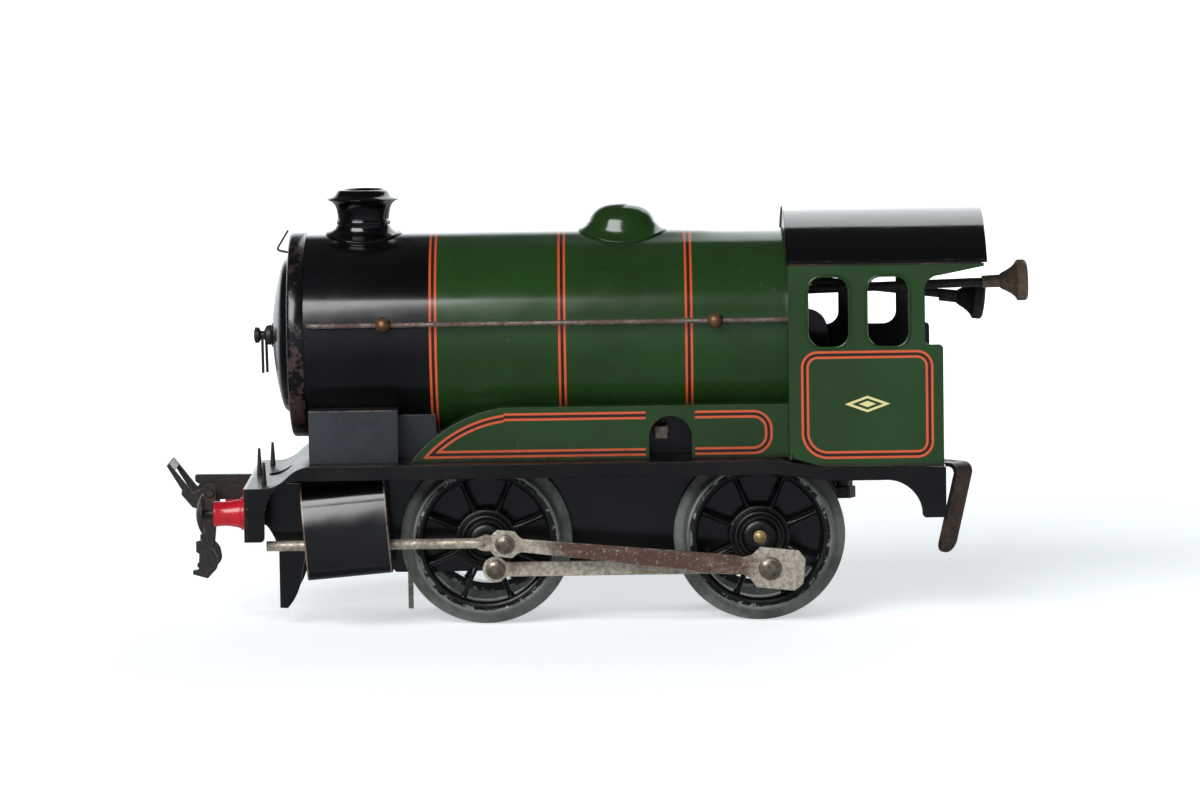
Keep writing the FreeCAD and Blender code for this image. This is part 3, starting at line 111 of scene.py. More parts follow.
class Graph:
    """A node tree under construction, and the place being shaded."""

    BEVEL_SAMPLES = 4

    def __init__(self, tree, coordinates):
        self.tree = tree
        self.place = tree.nodes.new("ShaderNodeTexCoord").outputs[coordinates]
        split = self.tree.nodes.new("ShaderNodeSeparateXYZ")
        self.tree.links.new(self.place, split.inputs[0])
        self.x = Wire(self, split.outputs["X"])
        self.y = Wire(self, split.outputs["Y"])
        self.z = Wire(self, split.outputs["Z"])

    def feed(self, socket, value):
        """Links a shader output to a socket, or sets a plain value."""
        if isinstance(value, Wire):
            self.tree.links.new(value.socket, socket)
        else:
            socket.default_value = value

    def math(self, operation, first, second=0.0, third=None):
        node = self.tree.nodes.new("ShaderNodeMath")
        node.operation = operation
        self.feed(node.inputs[0], first)
        self.feed(node.inputs[1], second)
        if third is not None:
            self.feed(node.inputs[2], third)
        return Wire(self, node.outputs[0])

    def low(self, first, second):
        return self.math("MINIMUM", first, second)

    def high(self, first, second):
        return self.math("MAXIMUM", first, second)

    def size(self, value):
        return self.math("ABSOLUTE", value)

    def length(self, first, second):
        return self.math("SQRT", first * first + second * second)

    def ramp(self, value, start, end, low=0.0, high=1.0):
        """Smooth step of value from start to end, between low and high."""
        node = self.tree.nodes.new("ShaderNodeMapRange")
        node.interpolation_type = "SMOOTHSTEP"
        self.feed(node.inputs["Value"], value)
        self.feed(node.inputs["From Min"], start)
        self.feed(node.inputs["From Max"], end)
        self.feed(node.inputs["To Min"], low)
        self.feed(node.inputs["To Max"], high)
        return Wire(self, node.outputs["Result"])

    def stretched(self, scale):
        """The place with each axis scaled."""
        node = self.tree.nodes.new("ShaderNodeMapping")
        node.inputs["Scale"].default_value = scale
        self.tree.links.new(self.place, node.inputs["Vector"])
        return node.outputs["Vector"]

    def noise(self, scale, detail=4.0, roughness=0.55, stretch=None, seed=0.0):
        """Noise with the given number of features per metre."""
        node = self.tree.nodes.new("ShaderNodeTexNoise")
        node.noise_dimensions = "4D"
        node.inputs["W"].default_value = seed
        node.inputs["Scale"].default_value = scale
        node.inputs["Detail"].default_value = detail
        node.inputs["Roughness"].default_value = roughness
        vector = self.stretched(stretch) if stretch else self.place
        self.tree.links.new(vector, node.inputs["Vector"])
        return Wire(self, node.outputs["Fac"])

    def mix(self, factor, first, second):
        """Colour between first, at factor 0, and second, at factor 1."""
        node = self.tree.nodes.new("ShaderNodeMix")
        node.data_type = "RGBA"
        self.feed(node.inputs["Factor"], factor)
        self.feed(node.inputs["A"], first)
        self.feed(node.inputs["B"], second)
        return Wire(self, node.outputs["Result"])

    def edges(self, radius):
        """1 on edges sharper than the given radius, and the rounded normal."""
        bevel = self.tree.nodes.new("ShaderNodeBevel")
        bevel.samples = self.BEVEL_SAMPLES
        bevel.inputs["Radius"].default_value = radius
        geometry = self.tree.nodes.new("ShaderNodeNewGeometry")
        dot = self.tree.nodes.new("ShaderNodeVectorMath")
        dot.operation = "DOT_PRODUCT"
        self.tree.links.new(bevel.outputs["Normal"], dot.inputs[0])
        self.tree.links.new(geometry.outputs["Normal"], dot.inputs[1])
        sharp = self.ramp(Wire(self, dot.outputs["Value"]), 0.99, 0.75)
        return sharp, bevel.outputs["Normal"]

    def bump(self, height, distance, strength, normal=None):
        """Normal bent by a height that spans the given distance."""
        node = self.tree.nodes.new("ShaderNodeBump")
        node.inputs["Strength"].default_value = strength
        node.inputs["Distance"].default_value = distance
        self.feed(node.inputs["Height"], height)
        if normal:
            self.tree.links.new(normal, node.inputs["Normal"])
        return Wire(self, node.outputs["Normal"])


class Shade(Graph):
    """A material under construction."""

    INPUTS = {"colour": "Base Color", "roughness": "Roughness", "metallic": "Metallic",
              "normal": "Normal", "coat": "Coat Weight", "coat_roughness": "Coat Roughness",
              "specular": "Specular IOR Level"}

    def __init__(self, name):
        self.material = bpy.data.materials.new(name)
        self.material.use_nodes = True
        tree = self.material.node_tree
        tree.nodes.clear()
        self.surface = tree.nodes.new("ShaderNodeBsdfPrincipled")
        output = tree.nodes.new("ShaderNodeOutputMaterial")
        tree.links.new(self.surface.outputs["BSDF"], output.inputs["Surface"])
        super().__init__(tree, "Object")

    def set(self, **values):
        """Feeds the named inputs of the surface, and gives the finished material."""
        for key, value in values.items():
            self.feed(self.surface.inputs[self.INPUTS[key]], value)
        return self.material


BROWN = linear(74, 50, 38)
BARE_TIN = linear(150, 148, 140)
ORANGE = linear(200, 86, 46)
LINE_BLACK = linear(44, 26, 20)
GREEN = (0.0155, 0.0490, 0.0110, 1.0)
GREEN_DEEP = (0.0130, 0.0370, 0.0075, 1.0)
BLACK = (0.0016, 0.0016, 0.0020, 1.0)
BLACK_SOFT = (0.0050, 0.0052, 0.0062, 1.0)
CREAM = linear(226, 214, 150)
RUBBED = linear(128, 106, 88)
FADED_ORANGE = linear(196, 84, 52)
FOOT_DIRT_AND_SHADE = linear(38, 27, 22)

ENAMEL_EDGE = 0.35 * MM
ENAMEL_DENT = 0.18 * MM


def enamel(name, first, second, lined=None, black=None, mark=None, rubbed=None, grime=None,
           wear=1.0, seed=0.0, gloss=0.14, coat=0.35):
    """Glossy stoved enamel with faint clouding, scratches, chips and browned edges.

    lined gives masks for orange and black lines, black a mask painted black instead, mark a
    mask painted cream and rubbed a mask worn to brown; grime is the height of the foot, which is darkened with
    dirt and painted shade where the sheet meets the footplate.
    """
    shade = Shade(name)
    cloud = shade.ramp(shade.noise(38, 5, 0.6, seed=seed), 0.35, 0.68)
    colour = shade.mix(cloud, first, second)
    if black:
        soft = shade.mix(cloud, BLACK, BLACK_SOFT)
        colour = shade.mix(black(shade), colour, soft)
    if lined:
        orange, dark = lined(shade)
        tint = shade.mix(shade.noise(240, 3, 0.6, seed=seed), ORANGE, FADED_ORANGE)
        colour = shade.mix(dark, colour, LINE_BLACK)
        colour = shade.mix(orange, colour, tint)
    if mark:
        colour = shade.mix(mark(shade), colour, CREAM)
    edge, soft_normal = shade.edges(ENAMEL_EDGE)
    patch = shade.ramp(shade.noise(150, 5, 0.7, seed=seed + 3), 0.47, 0.60)
    browned = shade.low(edge * patch * (1.2 * wear), 0.92)
    colour = shade.mix(browned, colour, BROWN)
    # Dirt and painted shade: dark brown blotches darken the foot where the sheet meets the footplate.
    if grime:
        foot_dirt_and_shade = shade.ramp(shade.z, grime + 1.5 * MM, grime + 0.2 * MM)
        blotch = shade.ramp(shade.noise(180, 5, 0.7, seed=seed + 29), 0.36, 0.60)
        colour = shade.mix(foot_dirt_and_shade * (blotch * 0.65 + 0.25), colour, FOOT_DIRT_AND_SHADE)
    if rubbed:
        fray = shade.ramp(shade.noise(420, 4, 0.7, seed=seed + 23), 0.34, 0.52)
        colour = shade.mix(rubbed(shade) * fray, colour, RUBBED)
    chip_field = shade.noise(520, 3, 0.6, seed=seed + 5)
    chip_zone = shade.ramp(shade.noise(46, 3, 0.6, seed=seed + 8), 0.50, 0.70)
    more = 0.012 * wear
    chips = shade.ramp(chip_field, 0.735 - more, 0.75 - more) * chip_zone
    edge_chips = edge * shade.ramp(shade.noise(420, 3, 0.7, seed=seed + 9), 0.60, 0.66) * 0.8
    bare = shade.high(chips, edge_chips * shade.ramp(chip_zone, 0.2, 0.8))
    colour = shade.mix(bare, colour, BARE_TIN)
    rub = shade.noise(90, 6, 0.72, stretch=(1.0, 2.4, 0.35), seed=seed + 11)
    scratch = shade.ramp(shade.noise(900, 2, 0.5, stretch=(1.0, 1.0, 0.06), seed=seed + 13), 0.68, 0.74)
    rough = shade.ramp(rub, 0.35, 0.75, gloss, gloss + 0.09)
    rough = rough + scratch * 0.12 + browned * 0.35 + bare * 0.2
    dents = shade.noise(70, 2, 0.5, seed=seed + 17) * 0.7
    height = dents + shade.noise(650, 3, 0.6, seed=seed + 19) * 0.015 - bare * 0.18
    normal = shade.bump(height, ENAMEL_DENT, 0.55, soft_normal)
    return shade.set(colour=colour, roughness=rough, normal=normal, coat=coat, coat_roughness=0.09,
                     specular=0.5)


METAL_PIT = 0.09 * MM
DARK_RUST_SHARE = 0.55


def worn_metal(name, clean, dull, rust, rust_mask, seed=0.0, roughness=0.32, metallic=0.9,
               edge_radius=0.3):
    """Plated or bare metal that is pitted and brown where rust_mask is high."""
    shade = Shade(name)
    grain = shade.noise(1100, 3, 0.65, seed=seed)
    base = shade.mix(shade.ramp(grain, 0.35, 0.65), clean, dull)
    mask = rust_mask(shade)
    dark_rust = tuple(DARK_RUST_SHARE * channel for channel in rust[:3]) + (1.0,)
    tone = shade.mix(shade.noise(380, 4, 0.6, seed=seed + 2), rust, dark_rust)
    colour = shade.mix(mask, base, tone)
    edge, soft_normal = shade.edges(edge_radius * MM)
    shine = edge * shade.ramp(shade.noise(260, 3, 0.6, seed=seed + 4), 0.45, 0.62) * 0.7
    colour = shade.mix(shine, colour, clean)
    level = metallic - mask * (metallic * 0.75)
    rough = shade.ramp(grain, 0.3, 0.7, roughness, roughness + 0.14) + mask * 0.34
    height = grain * 0.35 - mask * 0.5 + shade.noise(300, 3, 0.6, seed=seed + 6) * 0.5
    normal = shade.bump(height, METAL_PIT, 0.7, soft_normal)
    return shade.set(colour=colour, roughness=rough, metallic=level, normal=normal)


def rust_patches(scale, start, end, amount=1.0, seed=0.0):
    """Mask function: scattered patches of rust."""
    def mask(shade):
        broad = shade.noise(scale, 6, 0.75, seed=seed)
        return shade.ramp(broad, start, end) * amount
    return mask


# ------------------------------------------------------------------ painted lining

LINE = 0.54 * MM
LINE_GAP = 0.70 * MM
LINE_SOFT = 0.05 * MM


def double_line(shade, distance):
    """Masks of two orange lines and the black line between them, about distance = 0."""
    away = shade.size(distance)
    near, far = LINE_GAP / 2, LINE_GAP / 2 + LINE
    dark = shade.ramp(away, near + LINE_SOFT, near - LINE_SOFT)
    inner = shade.ramp(away, near - LINE_SOFT, near + LINE_SOFT)
    outer = shade.ramp(away, far + LINE_SOFT, far - LINE_SOFT)
    wobble = shade.ramp(shade.noise(700, 2, 0.5, seed=2), 0.22, 0.34)
    return inner * outer * wobble, dark


BAND_PLACES = (-43.2, -13.4, 15.9)


def boiler_lines(shade):
    """The three lined bands round the boiler."""
    nearest = None
    for place in BAND_PLACES:
        distance = shade.size(shade.x - along(place))
        nearest = distance if nearest is None else shade.low(nearest, distance)
    return double_line(shade, nearest)


def smokebox_black(shade):
    """The boiler is black ahead of its first band."""
    return shade.ramp(shade.x, along(BAND_PLACES[0] + 0.1), along(BAND_PLACES[0]))


def rounded_box(shade, across, up, centre, half, radius):
    """Distance from a rectangle with one corner radius all round."""
    side = shade.size(across - centre[0]) - (half[0] - radius)
    rise = shade.size(up - centre[1]) - (half[1] - radius)
    outside = shade.length(shade.high(side, 0.0), shade.high(rise, 0.0))
    inside = shade.low(shade.high(side, rise), 0.0)
    return outside + inside - radius


def circle_through(first, second, third):
    """Centre and radius of the circle through three points of a plane."""
    ax, ay, bx, by, cx, cy = (*first, *second, *third)
    scale = 2 * (ax * (by - cy) + bx * (cy - ay) + cx * (ay - by))
    a, b, c = ax * ax + ay * ay, bx * bx + by * by, cx * cx + cy * cy
    x = (a * (by - cy) + b * (cy - ay) + c * (ay - by)) / scale
    y = (a * (cx - bx) + b * (ax - cx) + c * (bx - ax)) / scale
    centre = Vector((x, y))
    return centre, (centre - first).length


SPLASHER_LOW, SPLASHER_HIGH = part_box("splasher_left")
SPLASHER_SIDE = -SPLASHER_LOW.y
SPLASHER_TOE = Vector((SPLASHER_LOW.x, SPLASHER_LOW.z))
SPLASHER_CROWN = Vector((along(-40.0), 46.9 * MM))
SPLASHER_SHOULDER = Vector((along(-27.0), SPLASHER_HIGH.z))
PANEL_BOTTOM = SPLASHER_LOW.z + 1.75 * MM
PANEL_TOP = SPLASHER_HIGH.z - 2.25 * MM
PANEL_REAR = SPLASHER_HIGH.x - 4.6 * MM
PANEL_LENGTH = 120 * MM
PANEL_CORNER = 3.6 * MM
PANEL_INSET = 2.5 * MM
KEYHOLE_X = along(11.3)
KEYHOLE_CLEAR = 5.6 * MM


def splasher_lines(shade):
    """Long panel: pointed under the front curve, round at the cab end."""
    middle = (PANEL_REAR - PANEL_LENGTH / 2, (PANEL_BOTTOM + PANEL_TOP) / 2)
    half = (PANEL_LENGTH / 2, (PANEL_TOP - PANEL_BOTTOM) / 2)
    box = rounded_box(shade, shade.x, shade.z, middle, half, PANEL_CORNER)
    centre, radius = circle_through(SPLASHER_TOE, SPLASHER_CROWN, SPLASHER_SHOULDER)
    from_centre = shade.length(shade.x - centre.x, shade.z - centre.y)
    curve = from_centre - (radius - PANEL_INSET)
    shoulder = SPLASHER_SHOULDER.x
    past_curve = shade.ramp(shade.x, shoulder - 0.1 * MM, shoulder + 0.1 * MM)
    curve = shade.math("MULTIPLY_ADD", past_curve, -1.0, curve)
    distance = shade.high(box, curve)
    orange, dark = double_line(shade, distance)
    beside = shade.ramp(shade.size(shade.x - KEYHOLE_X), KEYHOLE_CLEAR, KEYHOLE_CLEAR + 0.2 * MM)
    orange, dark = orange * beside, dark * beside
    outer_face = shade.ramp(shade.size(shade.y), SPLASHER_SIDE - 0.1 * MM, SPLASHER_SIDE - 0.05 * MM)
    return orange * outer_face, dark * outer_face


CAB_LOW, CAB_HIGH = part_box("cab_shell")
CAB_PANEL_X = (along(42.3), along(70.9))
CAB_PANEL_Z = (39.9 * MM, 63.0 * MM)
CAB_CORNER, CAB_ROUNDER_CORNER = 2.9 * MM, 5.2 * MM
MARK_X, MARK_Z = along(56.6), 51.6 * MM
MARK_HALF_LENGTH, MARK_HALF_HEIGHT = 5.2 * MM, 1.9 * MM


def cab_outside(shade):
    """The outer faces of the cab sheets."""
    return shade.ramp(shade.size(shade.y), CAB_HIGH.y - 0.12 * MM, CAB_HIGH.y - 0.06 * MM)


def cab_lines(shade):
    """Square panel under the windows, its front lower corner rounder than the others."""
    left, right = CAB_PANEL_X
    bottom, top = CAB_PANEL_Z
    centre = ((left + right) / 2, (bottom + top) / 2)
    half = ((right - left) / 2, (top - bottom) / 2)
    tight = rounded_box(shade, shade.x, shade.z, centre, half, CAB_CORNER)
    wide = rounded_box(shade, shade.x, shade.z, centre, half, CAB_ROUNDER_CORNER)
    front = shade.ramp(shade.x, centre[0] + 0.1 * MM, centre[0] - 0.1 * MM)
    lower = shade.ramp(shade.z, centre[1] + 0.1 * MM, centre[1] - 0.1 * MM)
    corner = front * lower
    distance = tight + (wide - tight) * corner
    orange, dark = double_line(shade, distance)
    outer_face = cab_outside(shade)
    return orange * outer_face, dark * outer_face


def cab_mark(shade):
    """Slender cream lozenge in the middle of the panel, in the number's place."""
    across = shade.size(shade.x - MARK_X) / MARK_HALF_LENGTH
    up = shade.size(shade.z - MARK_Z) / MARK_HALF_HEIGHT
    reach = across + up
    ring = shade.ramp(reach, 1.03, 0.97) * shade.ramp(reach, 0.66, 0.74)
    core = shade.ramp(reach, 0.42, 0.34)
    return shade.high(ring, core) * cab_outside(shade) * 0.9


def cab_inside(shade):
    """The inner faces of the cab sheets are black."""
    inner_side = shade.ramp(shade.size(shade.y), CAB_HIGH.y - 0.25 * MM, CAB_HIGH.y - 0.35 * MM)
    behind_front = shade.ramp(shade.x, CAB_LOW.x + 0.3 * MM, CAB_LOW.x + 0.4 * MM)
    return inner_side * behind_front


# ------------------------------------------------------------------ materials

BEAM_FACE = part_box("buffer_beam")[0].x
CASING_LOW, CASING_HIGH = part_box("cylinder_left")
CASING_TILT = math.radians(4.8)
CASING_HALF = 9.8 * MM


def cylinder_ends(shade):
    """Both end edges of the cylinder casings, which lean with the cylinder."""
    middle = (CASING_LOW + CASING_HIGH) / 2
    run = (shade.x - middle.x) * math.cos(CASING_TILT) + (shade.z - middle.z) * math.sin(CASING_TILT)
    edge = shade.ramp(shade.size(run), CASING_HALF - 0.45 * MM, CASING_HALF - 0.2 * MM)
    return edge * shade.ramp(shade.size(run), CASING_HALF - 0.03 * MM, CASING_HALF - 0.06 * MM)


def behind_beam_face(shade):
    """The beam is red on its face alone."""
    return shade.ramp(shade.x, BEAM_FACE + 0.12 * MM, BEAM_FACE + 0.16 * MM)


SADDLE_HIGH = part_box("smokebox_saddle")[1]


def saddle_edges(shade):
    """Top edge of the saddle box and upright scratches on its side faces."""
    top = shade.ramp(shade.z, SADDLE_HIGH.z - 0.35 * MM, SADDLE_HIGH.z - 0.1 * MM) * 0.6
    top = top * shade.ramp(shade.size(shade.y), SADDLE_HIGH.y - 0.5 * MM, SADDLE_HIGH.y - 0.2 * MM)
    streaks = shade.noise(1500, 3, 0.6, stretch=(1.0, 0.3, 0.10), seed=33)
    scratch = shade.ramp(streaks, 0.62, 0.70) * 0.30
    return shade.high(top, scratch)


FRONT_FADE = (9 * MM, 17 * MM)
REAR_FADE = (9 * MM, 16 * MM)


def brown_middle(low, high):
    """Mask function: even brown in the middle of a rod, fine specks towards its ends."""
    def mask(shade):
        drift = (shade.noise(160, 4, 0.6, seed=17) - 0.5) * (9 * MM)
        place = shade.x + drift
        after_front = shade.ramp(place, low + FRONT_FADE[0], low + FRONT_FADE[1])
        before_rear = shade.ramp(place, high - REAR_FADE[0], high - REAR_FADE[1])
        speckle = shade.ramp(shade.noise(1500, 4, 0.8, seed=7), 0.50, 0.60)
        grain = shade.noise(260, 5, 0.7, stretch=(0.25, 1.0, 1.0), seed=3)
        bright = shade.ramp(shade.noise(1300, 4, 0.8, seed=27), 0.56, 0.62) * 0.45
        brown = after_front * before_rear * shade.ramp(grain, 0.28, 0.5, 0.72, 1.0) - bright
        return shade.low(shade.high(brown, 0.0) + speckle * 0.22, 1.0)
    return mask


TYRE_GREYS = (linear(112, 117, 112), linear(146, 150, 144))
TYRE_GRIME = linear(70, 72, 64)
CHIPPED_STEEL = linear(150, 156, 156)
PAINT_RADIUS = 16.3 * MM


def wheel_paint(name, centre, seed):
    """Bare grey tyre, black centre; paint is chipped where the two meet."""
    shade = Shade(name)
    radius = shade.length(shade.x - centre.x, shade.z - centre.z)
    ragged = radius + (shade.noise(520, 4, 0.7, seed=seed) - 0.5) * (1.1 * MM)
    bare = shade.ramp(ragged, PAINT_RADIUS, PAINT_RADIUS + 0.1 * MM)
    grain = shade.noise(700, 4, 0.7, seed=seed + 1)
    metal = shade.mix(grain, *TYRE_GREYS)
    grime = shade.ramp(shade.noise(90, 5, 0.7, seed=seed + 2), 0.40, 0.62)
    metal = shade.mix(grime * 0.6, metal, TYRE_GRIME)
    paint = shade.mix(shade.noise(60, 4, 0.6, seed=seed + 4), BLACK, BLACK_SOFT)
    edge, soft_normal = shade.edges(0.3 * MM)
    ring = shade.ramp(radius, 15.5 * MM, 15.9 * MM) * shade.ramp(radius, 16.5 * MM, 16.35 * MM)
    broken = shade.ramp(shade.noise(300, 4, 0.75, seed=seed + 7), 0.52, 0.56)
    rubbed = edge * shade.ramp(shade.noise(330, 4, 0.7, seed=seed + 5), 0.52, 0.60) * 0.9
    chip = shade.high(rubbed, ring * broken)
    rim_zone = shade.ramp(radius, 13.2 * MM, 14.6 * MM, 0.25, 1.0)
    chip = chip * rim_zone
    colour = shade.mix(bare, paint, metal)
    colour = shade.mix(chip, colour, CHIPPED_STEEL)
    metallic = shade.high(bare * 0.55, chip * 0.7)
    rough = shade.ramp(grain, 0.3, 0.7, 0.26, 0.40) + bare * 0.22
    height = grain * 0.3 * bare + shade.noise(260, 3, 0.6, seed=seed + 6) * 0.4 - chip * 0.4
    normal = shade.bump(height, 0.12 * MM, 0.6, soft_normal)
    return shade.set(colour=colour, roughness=rough, metallic=metallic, normal=normal)


RING_RUSTS = (linear(86, 60, 54), linear(48, 32, 28))
WORN_EDGE = linear(112, 96, 84)
RUSTED_RADII = (20.5 * MM, 23.0 * MM)
RUST_THIN_Z, RUST_FULL_Z = BOILER_AXIS + 22 * MM, BOILER_AXIS - 6 * MM


def smokebox_front_paint():
    """Black enamel with broad flakes of rust round the ring."""
    shade = Shade("smokebox_front_enamel")
    radius = shade.length(shade.y, shade.z - BOILER_AXIS)
    ring = shade.ramp(radius, *RUSTED_RADII)
    flakes = shade.ramp(shade.noise(170, 6, 0.75, seed=31), 0.50, 0.56)
    low_side = shade.ramp(shade.z, RUST_THIN_Z, RUST_FULL_Z, 0.4, 1.0)
    rust = shade.low(ring * flakes * low_side * 0.85, 1.0)
    cloud = shade.noise(45, 4, 0.6, seed=5)
    paint = shade.mix(cloud, BLACK, BLACK_SOFT)
    tone = shade.mix(shade.noise(420, 4, 0.6, seed=6), *RING_RUSTS)
    colour = shade.mix(rust, paint, tone)
    edge, soft_normal = shade.edges(0.35 * MM)
    worn = edge * shade.ramp(shade.noise(220, 4, 0.7, seed=9), 0.46, 0.58) * 0.7
    colour = shade.mix(worn, colour, WORN_EDGE)
    rough = shade.ramp(shade.noise(90, 5, 0.7, seed=12), 0.35, 0.7, 0.16, 0.32) + rust * 0.45
    height = shade.noise(60, 3, 0.6, seed=14) * 0.8 - rust * 0.35
    height = height + shade.noise(500, 3, 0.6, seed=15) * 0.08
    normal = shade.bump(height, 0.2 * MM, 0.6, soft_normal)
    return shade.set(colour=colour, roughness=rough, normal=normal, coat=0.3, coat_roughness=0.1)


CHROME = linear(220, 211, 194)
DULL = linear(166, 154, 138)
RUST = linear(92, 64, 52)

ROD_LOW, ROD_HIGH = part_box("connecting_rod_left")

MATERIALS = {
    "green": enamel("green_enamel_plain", GREEN, GREEN_DEEP, seed=1.0),
    "boiler": enamel("green_enamel_boiler", GREEN, GREEN_DEEP, lined=boiler_lines,
                     black=smokebox_black, wear=0.6, seed=2.0),
    # The splasher and cab feet get dirt and painted shade where they meet the footplate.
    "splasher": enamel("green_enamel_splasher", GREEN, GREEN_DEEP, lined=splasher_lines,
                       grime=SPLASHER_LOW.z, seed=3.0),
    "cab": enamel("green_enamel_cab", GREEN, GREEN_DEEP, lined=cab_lines, black=cab_inside,
                  mark=cab_mark, grime=CAB_LOW.z, seed=4.0),
    "black": enamel("black_enamel_frames", BLACK, BLACK_SOFT, wear=1.1, seed=5.0, gloss=0.18),
    "footplate": enamel("black_enamel_footplate", BLACK, linear(20, 19, 20), wear=1.3, seed=15.0,
                        gloss=0.27, coat=0.0),
    # The black saddle is coloured blue-grey as a painted sheen; its rubbed top edge and upright scratches are real
    # wear.
    "saddle": enamel("black_enamel_saddle_painted_sheen", linear(52, 55, 60), linear(34, 36, 40),
                     rubbed=saddle_edges, wear=1.6, seed=18.0, gloss=0.20),
    "roof": enamel("black_enamel_roof", BLACK, BLACK, wear=0.8, seed=19.0, gloss=0.06, coat=0.6),
    "cylinder": enamel("black_enamel_cylinders", BLACK, BLACK_SOFT, rubbed=cylinder_ends, wear=1.8,
                       seed=20.0, gloss=0.10),
    "beam": enamel("red_enamel_beam", linear(176, 26, 36), linear(140, 20, 28),
                   black=behind_beam_face, wear=1.6, seed=21.0, gloss=0.24),
    # The backhead sits inside the cab and is coloured black as painted shade.
    "backhead": enamel("backhead_black_painted_shade", BLACK, BLACK_SOFT, wear=0.3, seed=16.0, gloss=0.10),
    "chimney": enamel("black_enamel_chimney", BLACK, BLACK_SOFT, wear=0.9, seed=6.0, gloss=0.10),
    "red": enamel("red_enamel_buffers", linear(196, 26, 40), linear(168, 18, 34), wear=1.3, seed=7.0,
                  gloss=0.22),
    "front": smokebox_front_paint(),
    "front_wheels": wheel_paint("front_wheel_paint", FRONT_AXLE, 11.0),
    "rear_wheels": wheel_paint("rear_wheel_paint", REAR_AXLE, 21.0),
    "rod": worn_metal("nickel_connecting_rods", CHROME, DULL, RUST,
                      brown_middle(ROD_LOW.x, ROD_HIGH.x), seed=1.0, metallic=0.6),
    "coupler": worn_metal("nickel_coupling_rods", CHROME, DULL, linear(104, 86, 70),
                          rust_patches(110, 0.46, 0.66, 0.7, 4.0), seed=2.0, metallic=0.6),
    "piston": worn_metal("nickel_piston_rods", CHROME, DULL, linear(104, 78, 66),
                         rust_patches(160, 0.44, 0.62, 0.7, 9.0), seed=3.0, metallic=0.6),
    "pin": worn_metal("nickel_pin_heads", linear(150, 140, 126), linear(112, 102, 90), linear(78, 64, 54),
                      rust_patches(500, 0.45, 0.62, 0.5, 12.0), seed=13.0, roughness=0.26, metallic=0.85),
    "spring": worn_metal("spring_steel", CHROME, DULL, RUST,
                         rust_patches(200, 0.55, 0.7, 0.6, 2.0), seed=4.0),
    "dark": worn_metal("dark_steel", linear(58, 54, 50), linear(40, 37, 35), linear(84, 60, 44),
                       rust_patches(140, 0.56, 0.66, 0.6, 5.0), seed=5.0, roughness=0.38, metallic=0.35),
    "drawbar": worn_metal("dark_steel_drawbar", linear(62, 52, 46), linear(42, 34, 30), linear(96, 66, 46),
                          rust_patches(90, 0.46, 0.62, 0.8, 6.0), seed=6.0, roughness=0.34, metallic=0.3),
    "brass": worn_metal("tarnished_brass", linear(150, 112, 80), linear(112, 82, 58), linear(80, 56, 40),
                        rust_patches(300, 0.45, 0.62, 0.6, 8.0), seed=7.0, roughness=0.3),
    "axle": worn_metal("brass_axles", linear(206, 178, 128), linear(150, 118, 80), linear(84, 60, 42),
                       rust_patches(500, 0.50, 0.66, 0.5, 14.0), seed=17.0, metallic=0.6),
    "bronze": worn_metal("browned_bronze", linear(118, 98, 80), linear(92, 76, 62), linear(60, 47, 38),
                         rust_patches(180, 0.45, 0.62, 0.6, 3.0), seed=8.0, roughness=0.36, metallic=0.35),
    "wire": worn_metal("handrail_wire", linear(150, 138, 128), linear(104, 90, 82), linear(88, 62, 52),
                       rust_patches(90, 0.44, 0.60, 0.8, 1.0), seed=9.0, roughness=0.4, metallic=0.7,
                       edge_radius=0.1),
}

PAINT = {
    "boiler_barrel": "boiler", "backhead": "backhead", "dome": "green", "cab_shell": "cab",
    "cab_roof": "roof", "chimney": "chimney", "smokebox_front": "front",
    "smokebox_door_handle": "dark", "smokebox_lamp_iron": "dark", "smokebox_saddle": "saddle",
    "footplate": "footplate", "buffer_beam": "beam", "lamp_irons": "dark", "handrail_knobs": "brass",
    "tender_drawbar": "drawbar", "fixing_screws": "dark", "frame_pillars": "dark",
    "mainspring": "spring", "winding_arbor": "pin", "trip_lever": "spring",
    "front_axle": "axle", "rear_axle": "axle", "front_crank_pins": "spring",
    "rear_crank_pins": "rod", "coupling_hook": "dark", "coupling_pin": "dark",
    "coupling_link": "dark", "great_gear": "brass", "intermediate_gear": "brass",
    "axle_gear": "brass", "brake_rod": "dark", "brake_knob": "bronze", "reverse_rod": "dark",
    "reverse_knob": "dark",
}
for name, side in SIDES:
    PAINT.update({
        f"buffer_stock_{name}": "red", f"buffer_head_{name}": "dark",
        f"front_wheel_{name}": "front_wheels", f"rear_wheel_{name}": "rear_wheels",
        f"coupling_rod_{name}": "coupler", f"connecting_rod_{name}": "rod",
        f"crosshead_pin_{name}": "rod", f"piston_rod_{name}": "piston",
        f"cylinder_{name}": "cylinder", f"splasher_{name}": "splasher",
        f"guard_iron_{name}": "black", f"frame_plate_{name}": "black",
        f"handrail_{name}": "wire",
    })

for node_name, key in PAINT.items():
    data = NODES[node_name].data
    data.materials.clear()
    data.materials.append(MATERIALS[key])


# ------------------------------------------------------------------ pieces built here

BODIES = frame["record"]["behaviour"]["bodies"]
BODY_OF = {node: body for body, members in BODIES.items() for node in members}


